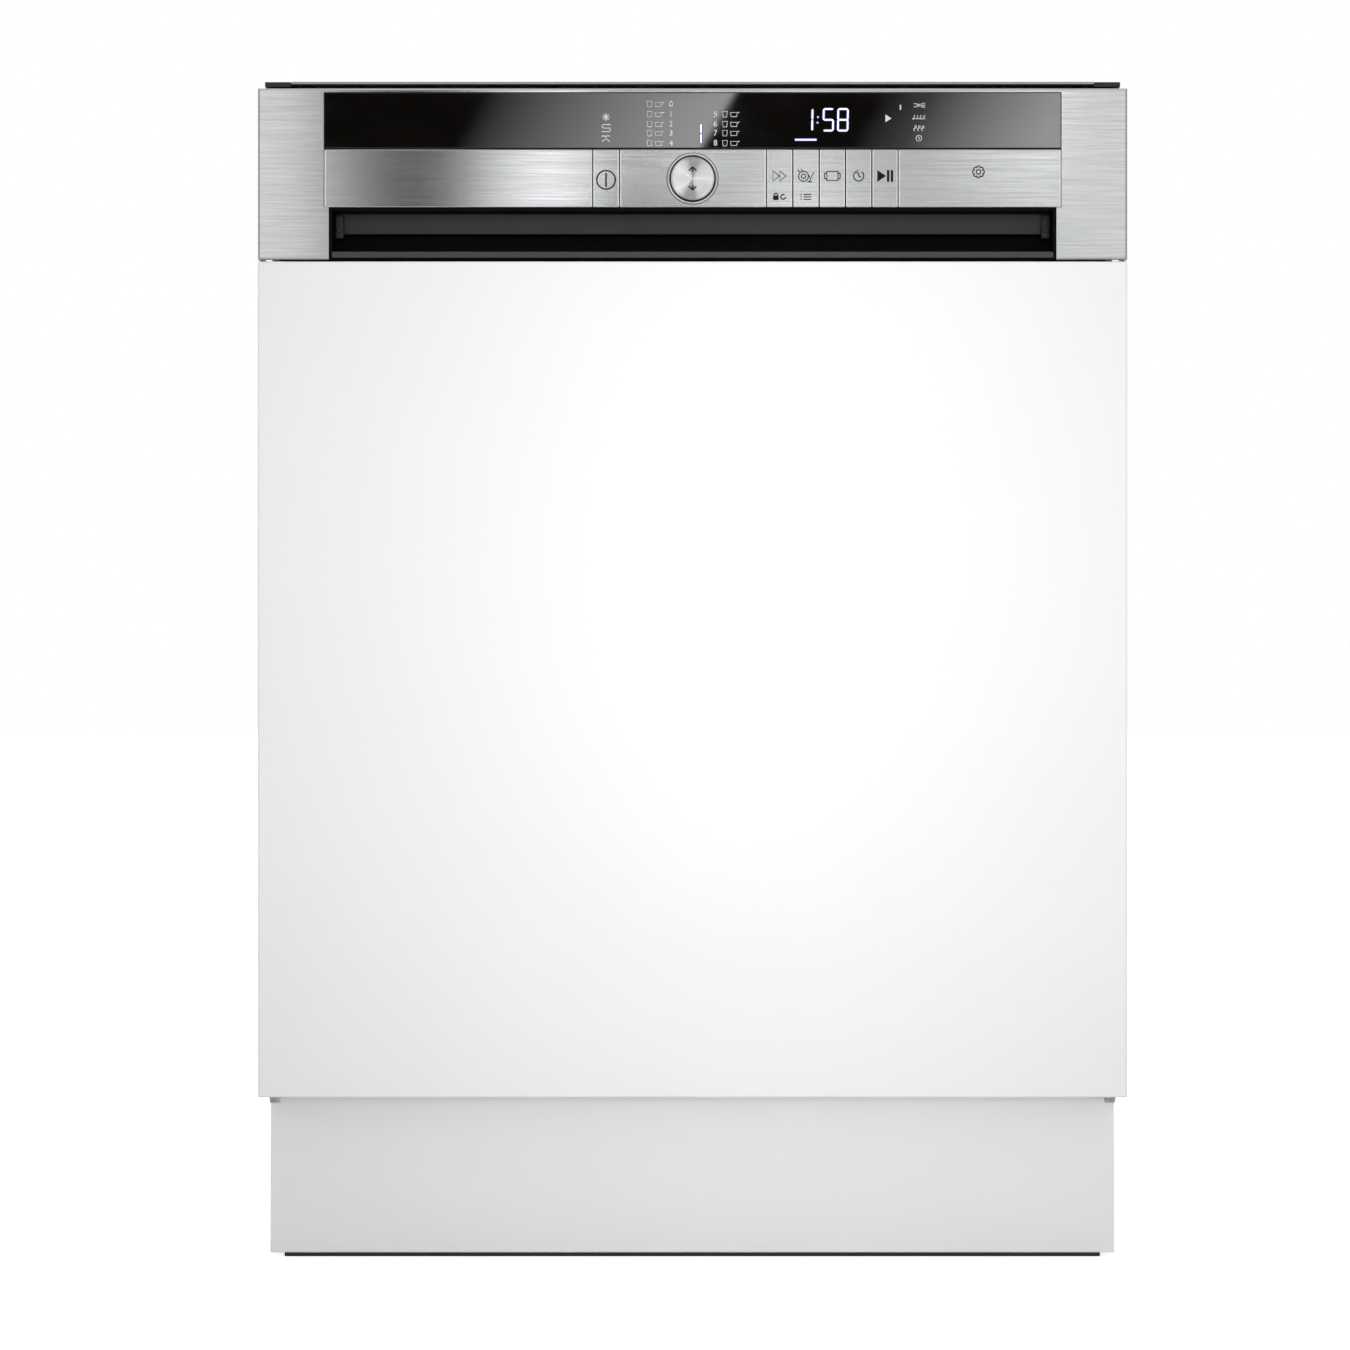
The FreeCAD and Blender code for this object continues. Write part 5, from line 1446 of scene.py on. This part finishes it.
@dataclass
class Racks:
    """The two racks, the folding tines, the cup shelf, the wheels, the runners and the cutlery basket."""

    wheel_level: float = 168.3
    wheel_places: Pair = (-120.0, 150.0)
    spokes: int = 6
    spoke_ends: Pair = (7.0, 14.0)
    spoke_place: float = 233.5
    tine_half: float = 236.0
    tine_short: float = 40.0
    plate_rows: tuple[float, ...] = (61.7, 101.7, 141.7, 177.7)
    front_row: float = -128.3
    folding_row: float = -58.25
    cup_rows: Triple = (-118.3, -18.3, 81.7)
    runner_clips: Triple = (-150.0, 0.0, 150.0)
    shelf_sides: Pair = (-241.6, -150.2)
    shelf_half: float = 148.0
    shelf_level: float = 546.7
    basket_sides: Pair = (60.0, 200.0)
    basket_ends: Pair = (-190.0, -60.0)
    basket_levels: Pair = (212.0, 300.0)
    basket_wall: float = 2.5
    basket_slat: float = 2.0
    handle_level: float = 328.0
    low: Basket = field(default_factory=lambda: Basket(209.8, 320.2))
    high: Basket = field(default_factory=lambda: Basket(479.8, 598.2))

    def build(self) -> None:
        """Builds the wire pieces and dresses the moulded ones."""
        dress("rack_feed_pipe", SPRAY_GREY)
        self.plate_rack()
        self.cup_rack()
        self.folding_tines()
        self.cup_shelf()
        self.wheels()
        self.cutlery_basket()

    def plate_rack(self) -> None:
        """The lower rack with its tine rows, axle plates and handle."""
        rack = self.low.shape()
        for y in self.plate_rows:
            self.low.tines(rack, -self.tine_half, self.tine_half, y, 16, 5.0)
        self.low.tines(rack, -self.tine_half, self.tine_short, self.front_row, 10, 5.0)
        rack.finish("plate_rack_wires", COATED_WIRE, "lower_rack", "lower_rack", "lower_rack", sharp=70)
        plates = Shape()
        for y in self.wheel_places:
            outline = [at(236.2, y + along, level) for along, level in (
                (-11, 214), (-8, 166), (-5, 160.5), (5, 160.5), (8, 166), (11, 214))]
            plates.plate(outline, at(2.8, 0, 0), 0.5)
            plates.bar(at(226.4, y, self.wheel_level), at(237, y, self.wheel_level), 2.9, 24, 0.5)
        plates.mirror_x().finish("axle_plates", PART_GREY, "lower_rack", "lower_rack")
        self.handle("plate_rack_handle", "lower_rack", self.low)

    def handle(self, name: str, body: str, basket: Basket) -> None:
        """The moulded handle in the middle of a rack's front rim.

        Args:
            name: the piece's name.
            body: the rack it rides on.
            basket: the wires it is clipped to.
        """
        top, face = basket.rim + 1.5, basket.front
        grip = Shape().box((-62, face - 3.2, top - 22), (62, face + 2.6, top - 1), 2.2, 4)
        grip.box((-56, face - 4.2, top - 6.5), (56, face - 2.2, top - 3), 0.9, 3)
        grip.finish(name, PART_GREY, body, body)

    def cup_rack(self) -> None:
        """The upper rack with its tine rows and the runners that carry it."""
        rack = self.high.shape()
        for y in self.cup_rows:
            self.high.tines(rack, -130, 230, y, 12, 4.0)
        rack.finish("cup_rack_wires", COATED_WIRE, "upper_rack", "upper_rack", "upper_rack", sharp=70)
        runners = Shape().box((248.0, -200, 554), (254.4, 200, 570), 1.2, 3).mirror_x()
        runners.finish("rack_runners", RAIL_STEEL, "upper_rack", "upper_rack")
        clips = Shape()
        for y in self.runner_clips:
            clips.box((243.2, y - 9, 551), (249.2, y + 9, 573), 1.2, 2)
        clips.mirror_x().finish("runner_clips", PART_GREY, "upper_rack", "upper_rack")
        self.handle("cup_rack_handle", "upper_rack", self.high)

    def folding_tines(self) -> None:
        """The front tine row, which folds down."""
        row = Shape()
        low = Basket(206.0, 320.2)
        low.tines(row, -self.tine_half, self.tine_short, self.folding_row, 10, 0.0, 72.0)
        row.finish("folding_tine_row", COATED_WIRE, "fold_tines", "fold_tines", "fold_tines", sharp=70)

    def cup_shelf(self) -> None:
        """The folding shelf for cups at the side of the upper rack."""
        (left, right), half, level = self.shelf_sides, self.shelf_half, self.shelf_level
        corners = [at(x, y, level) for x, y in ((left, -half), (right, -half), (right, half), (left, half))]
        shelf = Shape().wires([rounded(corners, 12, 6, True)], 1.9, True, 3)
        for number in range(8):
            y = -half + 2 * half * (number + 1) / 9
            shelf.wires([[at(left, y, level), at(right, y, level)]], 1.5, False, 2)
        for x in (-212.0, -181.0):
            shelf.wires([[at(x, -half, level), at(x, half, level)]], 1.5, False, 2)
        shelf.finish("cup_shelf_wires", COATED_WIRE, "cup_shelf", "cup_shelf", "cup_shelf", sharp=70)

    def wheels(self) -> None:
        """The rack's wheels: a rounded tyre, a dished web and a hub on each axle."""
        profile = [(3.1, 0), (6.2, 0), (6.6, 1.6), (13.4, 2.0), (14.2, 0.3), (16.8, 0), (17.7, 0.7),
                   (18, 1.8), (18, 5.2), (17.7, 6.3), (16.8, 7), (14.2, 6.7), (13.4, 5.0), (6.6, 5.4),
                   (6.2, 7), (3.1, 7), (3.1, 0)]
        for name, y in zip(("front_wheels", "rear_wheels"), self.wheel_places):
            wheel = Shape().lathe(profile, at(228.0, y, self.wheel_level), Axis.X, 64)
            for number in range(self.spokes):
                angle = 2 * math.pi * number / self.spokes
                side, rise = math.cos(angle), math.sin(angle)
                ends = [at(self.spoke_place, y + far * side, self.wheel_level + far * rise)
                        for far in self.spoke_ends]
                wheel.bar(*ends, 0.9, 12)
            wheel.mirror_x().finish(name + "_spoked", PART_GREY, name, name, name, sharp=40)

    def cutlery_basket(self) -> None:
        """The basket for cutlery: slatted walls, a barred floor and an arched handle."""
        (left, right), (front, back), (low, top) = self.basket_sides, self.basket_ends, self.basket_levels
        wall, slat = self.basket_wall, self.basket_slat
        belts = ((top - 5, top), (low, low + 4), (low + 42, low + 45))
        basket = Shape()
        for number in range(4):
            x = left + (right - left - wall) * number / 3
            for foot, head in belts:
                basket.box((x, front, foot), (x + wall, back, head), 0.5, 2)
            for step in range(1, 16):
                y = front + (back - front - slat) * step / 16
                basket.box((x + 0.3, y, low + 2), (x + wall - 0.3, y + slat, top - 3), 0.3, 1)
        for number in range(3):
            y = front + (back - front - wall) * number / 2
            for foot, head in belts:
                basket.box((left, y, foot), (right, y + wall, head), 0.5, 2)
            for step in range(1, 18):
                x = left + (right - left - slat) * step / 18
                basket.box((x, y + 0.3, low + 2), (x + slat, y + wall - 0.3, top - 3), 0.3, 1)
        for step in range(1, 18):
            x = left + (right - left - slat) * step / 18
            basket.box((x, front + 1, low + 0.2), (x + slat, back - 1, low + 2.4), 0.3, 1)
        for step in range(1, 14):
            y = front + (back - front - slat) * step / 14
            basket.box((left + 1, y, low), (right - 1, y + slat, low + 2.2), 0.3, 1)
        middle = (front + back) / 2
        near, far, high = left + 3.5, right - 3.5, self.handle_level
        foot = top - 4
        arch = rounded([at(near, 0, foot), at(near, 0, high), at(far, 0, high), at(far, 0, foot)], 26, 8)
        handle = Shape().wires([arch], 3.6, False, 3)
        bmesh.ops.scale(handle.mesh, vec=(1, 1.1, 1), verts=handle.mesh.verts[:])
        bmesh.ops.translate(handle.mesh, vec=(0, middle, 0), verts=handle.mesh.verts[:])
        basket.finish("cutlery_cells", BASKET_GREY, "cutlery_basket", "cutlery_basket", "cutlery_basket")
        handle.finish("cutlery_handle", PART_GREY, "cutlery_basket", "cutlery_basket", sharp=70)


@dataclass
class SprayArm:
    """A rotating spray arm: a hollow blade with a raised back, jets along it and a hub."""

    node: str
    low: float
    reach: float
    hub_top: float
    centre: float = 9.0
    half: float = 20.5
    thick: float = 12.0
    wave: float = 3.0
    bore: float = 9.1
    hub: float = 19.0
    jets: int = 7

    def build(self) -> None:
        """Shapes the blade from a ball, then adds the jets and the hub."""
        blade = Shape()
        bmesh.ops.create_uvsphere(blade.mesh, u_segments=48, v_segments=40, radius=1.0,
                                  matrix=Matrix.Rotation(math.radians(90), 4, "Y"))
        middle = self.low + self.thick / 2
        for vert in blade.mesh.verts:
            along = math.copysign(abs(vert.co.x) ** 0.8, vert.co.x)
            ring = math.hypot(vert.co.y, vert.co.z) or 1.0
            width = (1 - abs(along) ** 6) ** 0.5 * (0.62 + 0.38 * math.cos(along * math.pi / 2) ** 0.7)
            side, rise = vert.co.y / ring, vert.co.z / ring
            if ring < 1e-3 or abs(vert.co.x) > 0.9999:
                width = 0.0
            flat = abs(rise) ** 0.6 * math.copysign(1, rise)
            sway = self.wave * math.sin(along * math.pi)
            vert.co = at(along * self.reach, self.centre + side * width * self.half + sway,
                         middle + flat * self.thick * 0.48 * min(1.0, width * 1.5))
        jets = Shape()
        for side in (-1, 1):
            for number in range(self.jets):
                x = side * (38 + (self.reach - 64) * number / (self.jets - 1))
                y = self.centre + self.wave * math.sin(x / self.reach * math.pi) + (4 if number % 2 else -4)
                foot, mouth = self.low + self.thick * 0.75, self.low + self.thick + 0.4
                jets.bar(at(x, y, foot), at(x, y, mouth), 3.0, 24, 0.6)
        blade.finish(self.node + "_blade", SPRAY_GREY, self.node, self.node, self.node, sharp=55)
        jets.finish(self.node + "_jets", PART_GREY, self.node, self.node)
        foot, top, bore = self.low - 1.5, self.hub_top, self.bore
        hub = [(bore, foot), (18.2, foot), (self.hub, self.low), (self.hub, self.low + self.thick),
               (17.8, top - 1.2), (16.4, top), (0, top), (0, top - 2), (bore, top - 2), (bore, foot)]
        Shape().lathe(hub, at(0, self.centre, 0), Axis.Z, 64).finish(self.node + "_hub", PART_GREY, self.node,
                                                                    self.node, sharp=40)


# ---- the studio ----

@dataclass
class Studio:
    """The pale floor, the soft lights, the cards that the metal mirrors, and the camera."""

    camera_place: Triple = (-0.0121, -3.4835, 0.4065)
    lens: float = 124.1
    card_back: float = 0.4
    glass_middle: float = 1.2135
    room_light: float = 0.50
    front_gap: float = 3.2
    glass_card_shift: float = 0.0135
    panel_middle: Pair = (0.06, 0.5)
    steel_card_size: Pair = (2.4, 2.2)
    steel_card_light: float = 2.2
    glass_card_size: Pair = (1.085, 0.1)
    glass_card_light: float = 3.7
    glass_slant: float = -0.6
    floor_size: float = 60.0
    floor_glow: float = 0.7

    def build(self) -> None:
        """Sets up everything round the machine."""
        scene = bpy.context.scene
        scene.view_settings.view_transform = "Standard"
        world = bpy.data.worlds.new("pale_room")
        world.use_nodes = True
        tree = world.node_tree
        level = tree.nodes.new("ShaderNodeMapRange")
        level.inputs["To Min"].default_value = self.room_light
        tree.links.new(tree.nodes.new("ShaderNodeLightPath").outputs["Is Camera Ray"], level.inputs["Value"])
        tree.nodes["Background"].inputs[0].default_value = (1.0, 1.0, 1.0, 1.0)
        tree.links.new(level.outputs["Result"], tree.nodes["Background"].inputs[1])
        scene.world = world
        self.floor()
        self.cards()
        middle = Vector((0, 0, 0.4))
        self.light("overhead_light", Vector((0, -0.2, 3.6)), middle, (3.4, 3.4), 18.0)
        self.light("key_light", Vector((1.5, -3.2, 2.2)), middle, (1.4, 1.4), 4.5)
        x, z = self.panel_middle
        strip = self.light("panel_light", Vector((x, -2.9, z)), Vector((x, 0, z)), (0.2, 0.7), 1.15)
        strip.data.spread = math.radians(30)
        strip.visible_glossy = False
        self.camera()

    def plane(self, name: str, middle: Vector, wide: float, tall: float, upright: bool,
              material: bpy.types.Material) -> bpy.types.Object:
        """A flat stage piece that isn't part of the machine.

        Args:
            name: its name.
            middle: its middle, in metres.
            wide: its width.
            tall: its height, or its depth if it lies down.
            upright: True if it faces along Y.
            material: its material.

        Returns:
            The new object.
        """
        mesh = bmesh.new()
        turn = Matrix.Rotation(math.radians(-90), 4, "X") if upright else Matrix.Identity(4)
        size = Matrix.Diagonal((wide / 2, tall / 2, 1.0, 1.0))
        bmesh.ops.create_grid(mesh, x_segments=1, y_segments=1, size=1.0,
                              matrix=Matrix.Translation(middle) @ turn @ size)
        data = bpy.data.meshes.new(name)
        mesh.to_mesh(data)
        mesh.free()
        data.materials.append(material)
        made = bpy.data.objects.new(name, data)
        bpy.context.scene.collection.objects.link(made)
        return made

    def floor(self) -> None:
        """A wide matt white floor."""
        recipe = Recipe("pale_floor")
        recipe.set(Roughness=0.9, Specular_IOR_Level=0.2, Base_Color=(0.95, 0.95, 0.95),
                   Emission_Color=(1.0, 1.0, 1.0))
        seen = recipe.maths("MULTIPLY", recipe.node("LightPath").outputs["Is Camera Ray"], self.floor_glow)
        recipe.tree.links.new(seen, recipe.shader.inputs["Emission Strength"])
        self.plane("floor", Vector((0, 0, 0)), self.floor_size, self.floor_size, False, recipe.material)

    def card_material(self, name: str, stops: list[Pair], slant: float,
                      strength: float) -> bpy.types.Material:
        """A glowing card whose light changes across its width.

        Args:
            name: the material's name.
            stops: pairs of place across the machine's front, in metres, and brightness.
            slant: how far its edges lean per metre of height.
            strength: the light of a stop of brightness 1.

        Returns:
            The card's material.
        """
        recipe = Recipe(name, bare=True)
        apart = recipe.node("SeparateXYZ", {0: recipe.node("TexCoord").outputs["Object"]})
        rise = recipe.maths("SUBTRACT", apart.outputs["Z"], self.glass_middle)
        lean = recipe.maths("MULTIPLY", rise, slant)
        across = recipe.maths("DIVIDE", recipe.maths("ADD", apart.outputs["X"], lean), self.spread)
        low, high = stops[0][0], stops[-1][0]
        share = recipe.node("MapRange", {"Value": across, "From Min": low, "From Max": high})
        ramp = recipe.node("ValToRGB", {0: share.outputs["Result"]})
        elements = ramp.color_ramp.elements
        for number, (place, level) in enumerate(stops):
            inner = 0 < number < len(stops) - 1
            element = elements.new((place - low) / (high - low)) if inner else elements[-1 if number else 0]
            element.color = (level, level, level, 1.0)
        glow = recipe.node("Emission", {"Color": ramp.outputs["Color"], "Strength": strength})
        recipe.node("OutputMaterial", {"Surface": glow.outputs[0]})
        return recipe.material

    @property
    def spread(self) -> float:
        """How much wider a thing's mirror image is on the cards than on the machine's front."""
        return 1 + (self.front_gap + self.card_back) / self.front_gap

    def cards(self) -> None:
        """The cards behind the camera that the steel and the glass mirror."""
        y = self.camera_place[1] - self.card_back
        steel = [(-0.45, 0.48), (-0.27, 0.48), (-0.255, 0.4), (-0.235, 0.28), (-0.2, 0.03),
                 (-0.165, 0.0), (-0.14, 0.35), (-0.1, 0.85), (-0.075, 0.82), (-0.052, 0.0),
                 (-0.015, 0.0), (0.035, 0.38), (0.058, 0.55), (0.08, 0.72), (0.138, 0.36), (0.2, 0.3),
                 (0.25, 0.28), (0.27, 0.45), (0.45, 0.46)]
        big = self.plane("steel_card", Vector((0, y, 1.0)), *self.steel_card_size, True,
                         self.card_material("steel_card", steel, 0.0, self.steel_card_light))
        glass = [(-0.40, 0.0), (-0.146, 0.0), (-0.06, 0.46), (0.0, 0.78), (0.022, 0.85), (0.026, 0.0),
                 (0.125, 0.0), (0.16, 0.12), (0.253, 0.86), (0.40, 0.86)]
        place = Vector((self.glass_card_shift, y + 0.03, self.glass_middle))
        shine = self.card_material("glass_card", glass, self.glass_slant, self.glass_card_light)
        small = self.plane("glass_card", place, *self.glass_card_size, True, shine)
        for card in (big, small):
            card.visible_camera = False
            card.visible_shadow = False

    def light(self, name: str, place: Vector, target: Vector, size: Pair, power: float) -> bpy.types.Object:
        """A soft rectangular light.

        Args:
            name: its name.
            place: where it hangs.
            target: the point it faces.
            size: its width and height.
            power: its power in watts.

        Returns:
            The light.
        """
        data = bpy.data.lights.new(name, "AREA")
        data.shape, data.size, data.size_y, data.energy = "RECTANGLE", *size, power
        lamp = bpy.data.objects.new(name, data)
        lamp.location = place
        lamp.rotation_euler = (target - place).to_track_quat("-Z", "Y").to_euler()
        lamp.visible_camera = False
        bpy.context.scene.collection.objects.link(lamp)
        return lamp

    def camera(self) -> None:
        """The camera, level and straight in front."""
        data = bpy.data.cameras.new("camera")
        data.type, data.lens, data.sensor_width = "PERSP", self.lens, 36.0
        camera = bpy.data.objects.new("camera", data)
        camera.location = self.camera_place
        camera.rotation_euler = Euler((math.radians(90), 0, 0))
        bpy.context.scene.collection.objects.link(camera)
        bpy.context.scene.camera = camera


def main() -> None:
    """Builds the machine and its studio in order."""
    logging.basicConfig(level=logging.INFO, format="%(name)s: %(message)s")
    Studio().build()
    Console().build()
    Door().build()
    Cabinet().build()
    Tub().build()
    Racks().build()
    SprayArm("lower_spray_arm", 170.0, 203.0, 184.0).build()
    SprayArm("upper_spray_arm", 438.0, 195.0, 452.0).build()


if __name__ == "__main__":
    main()
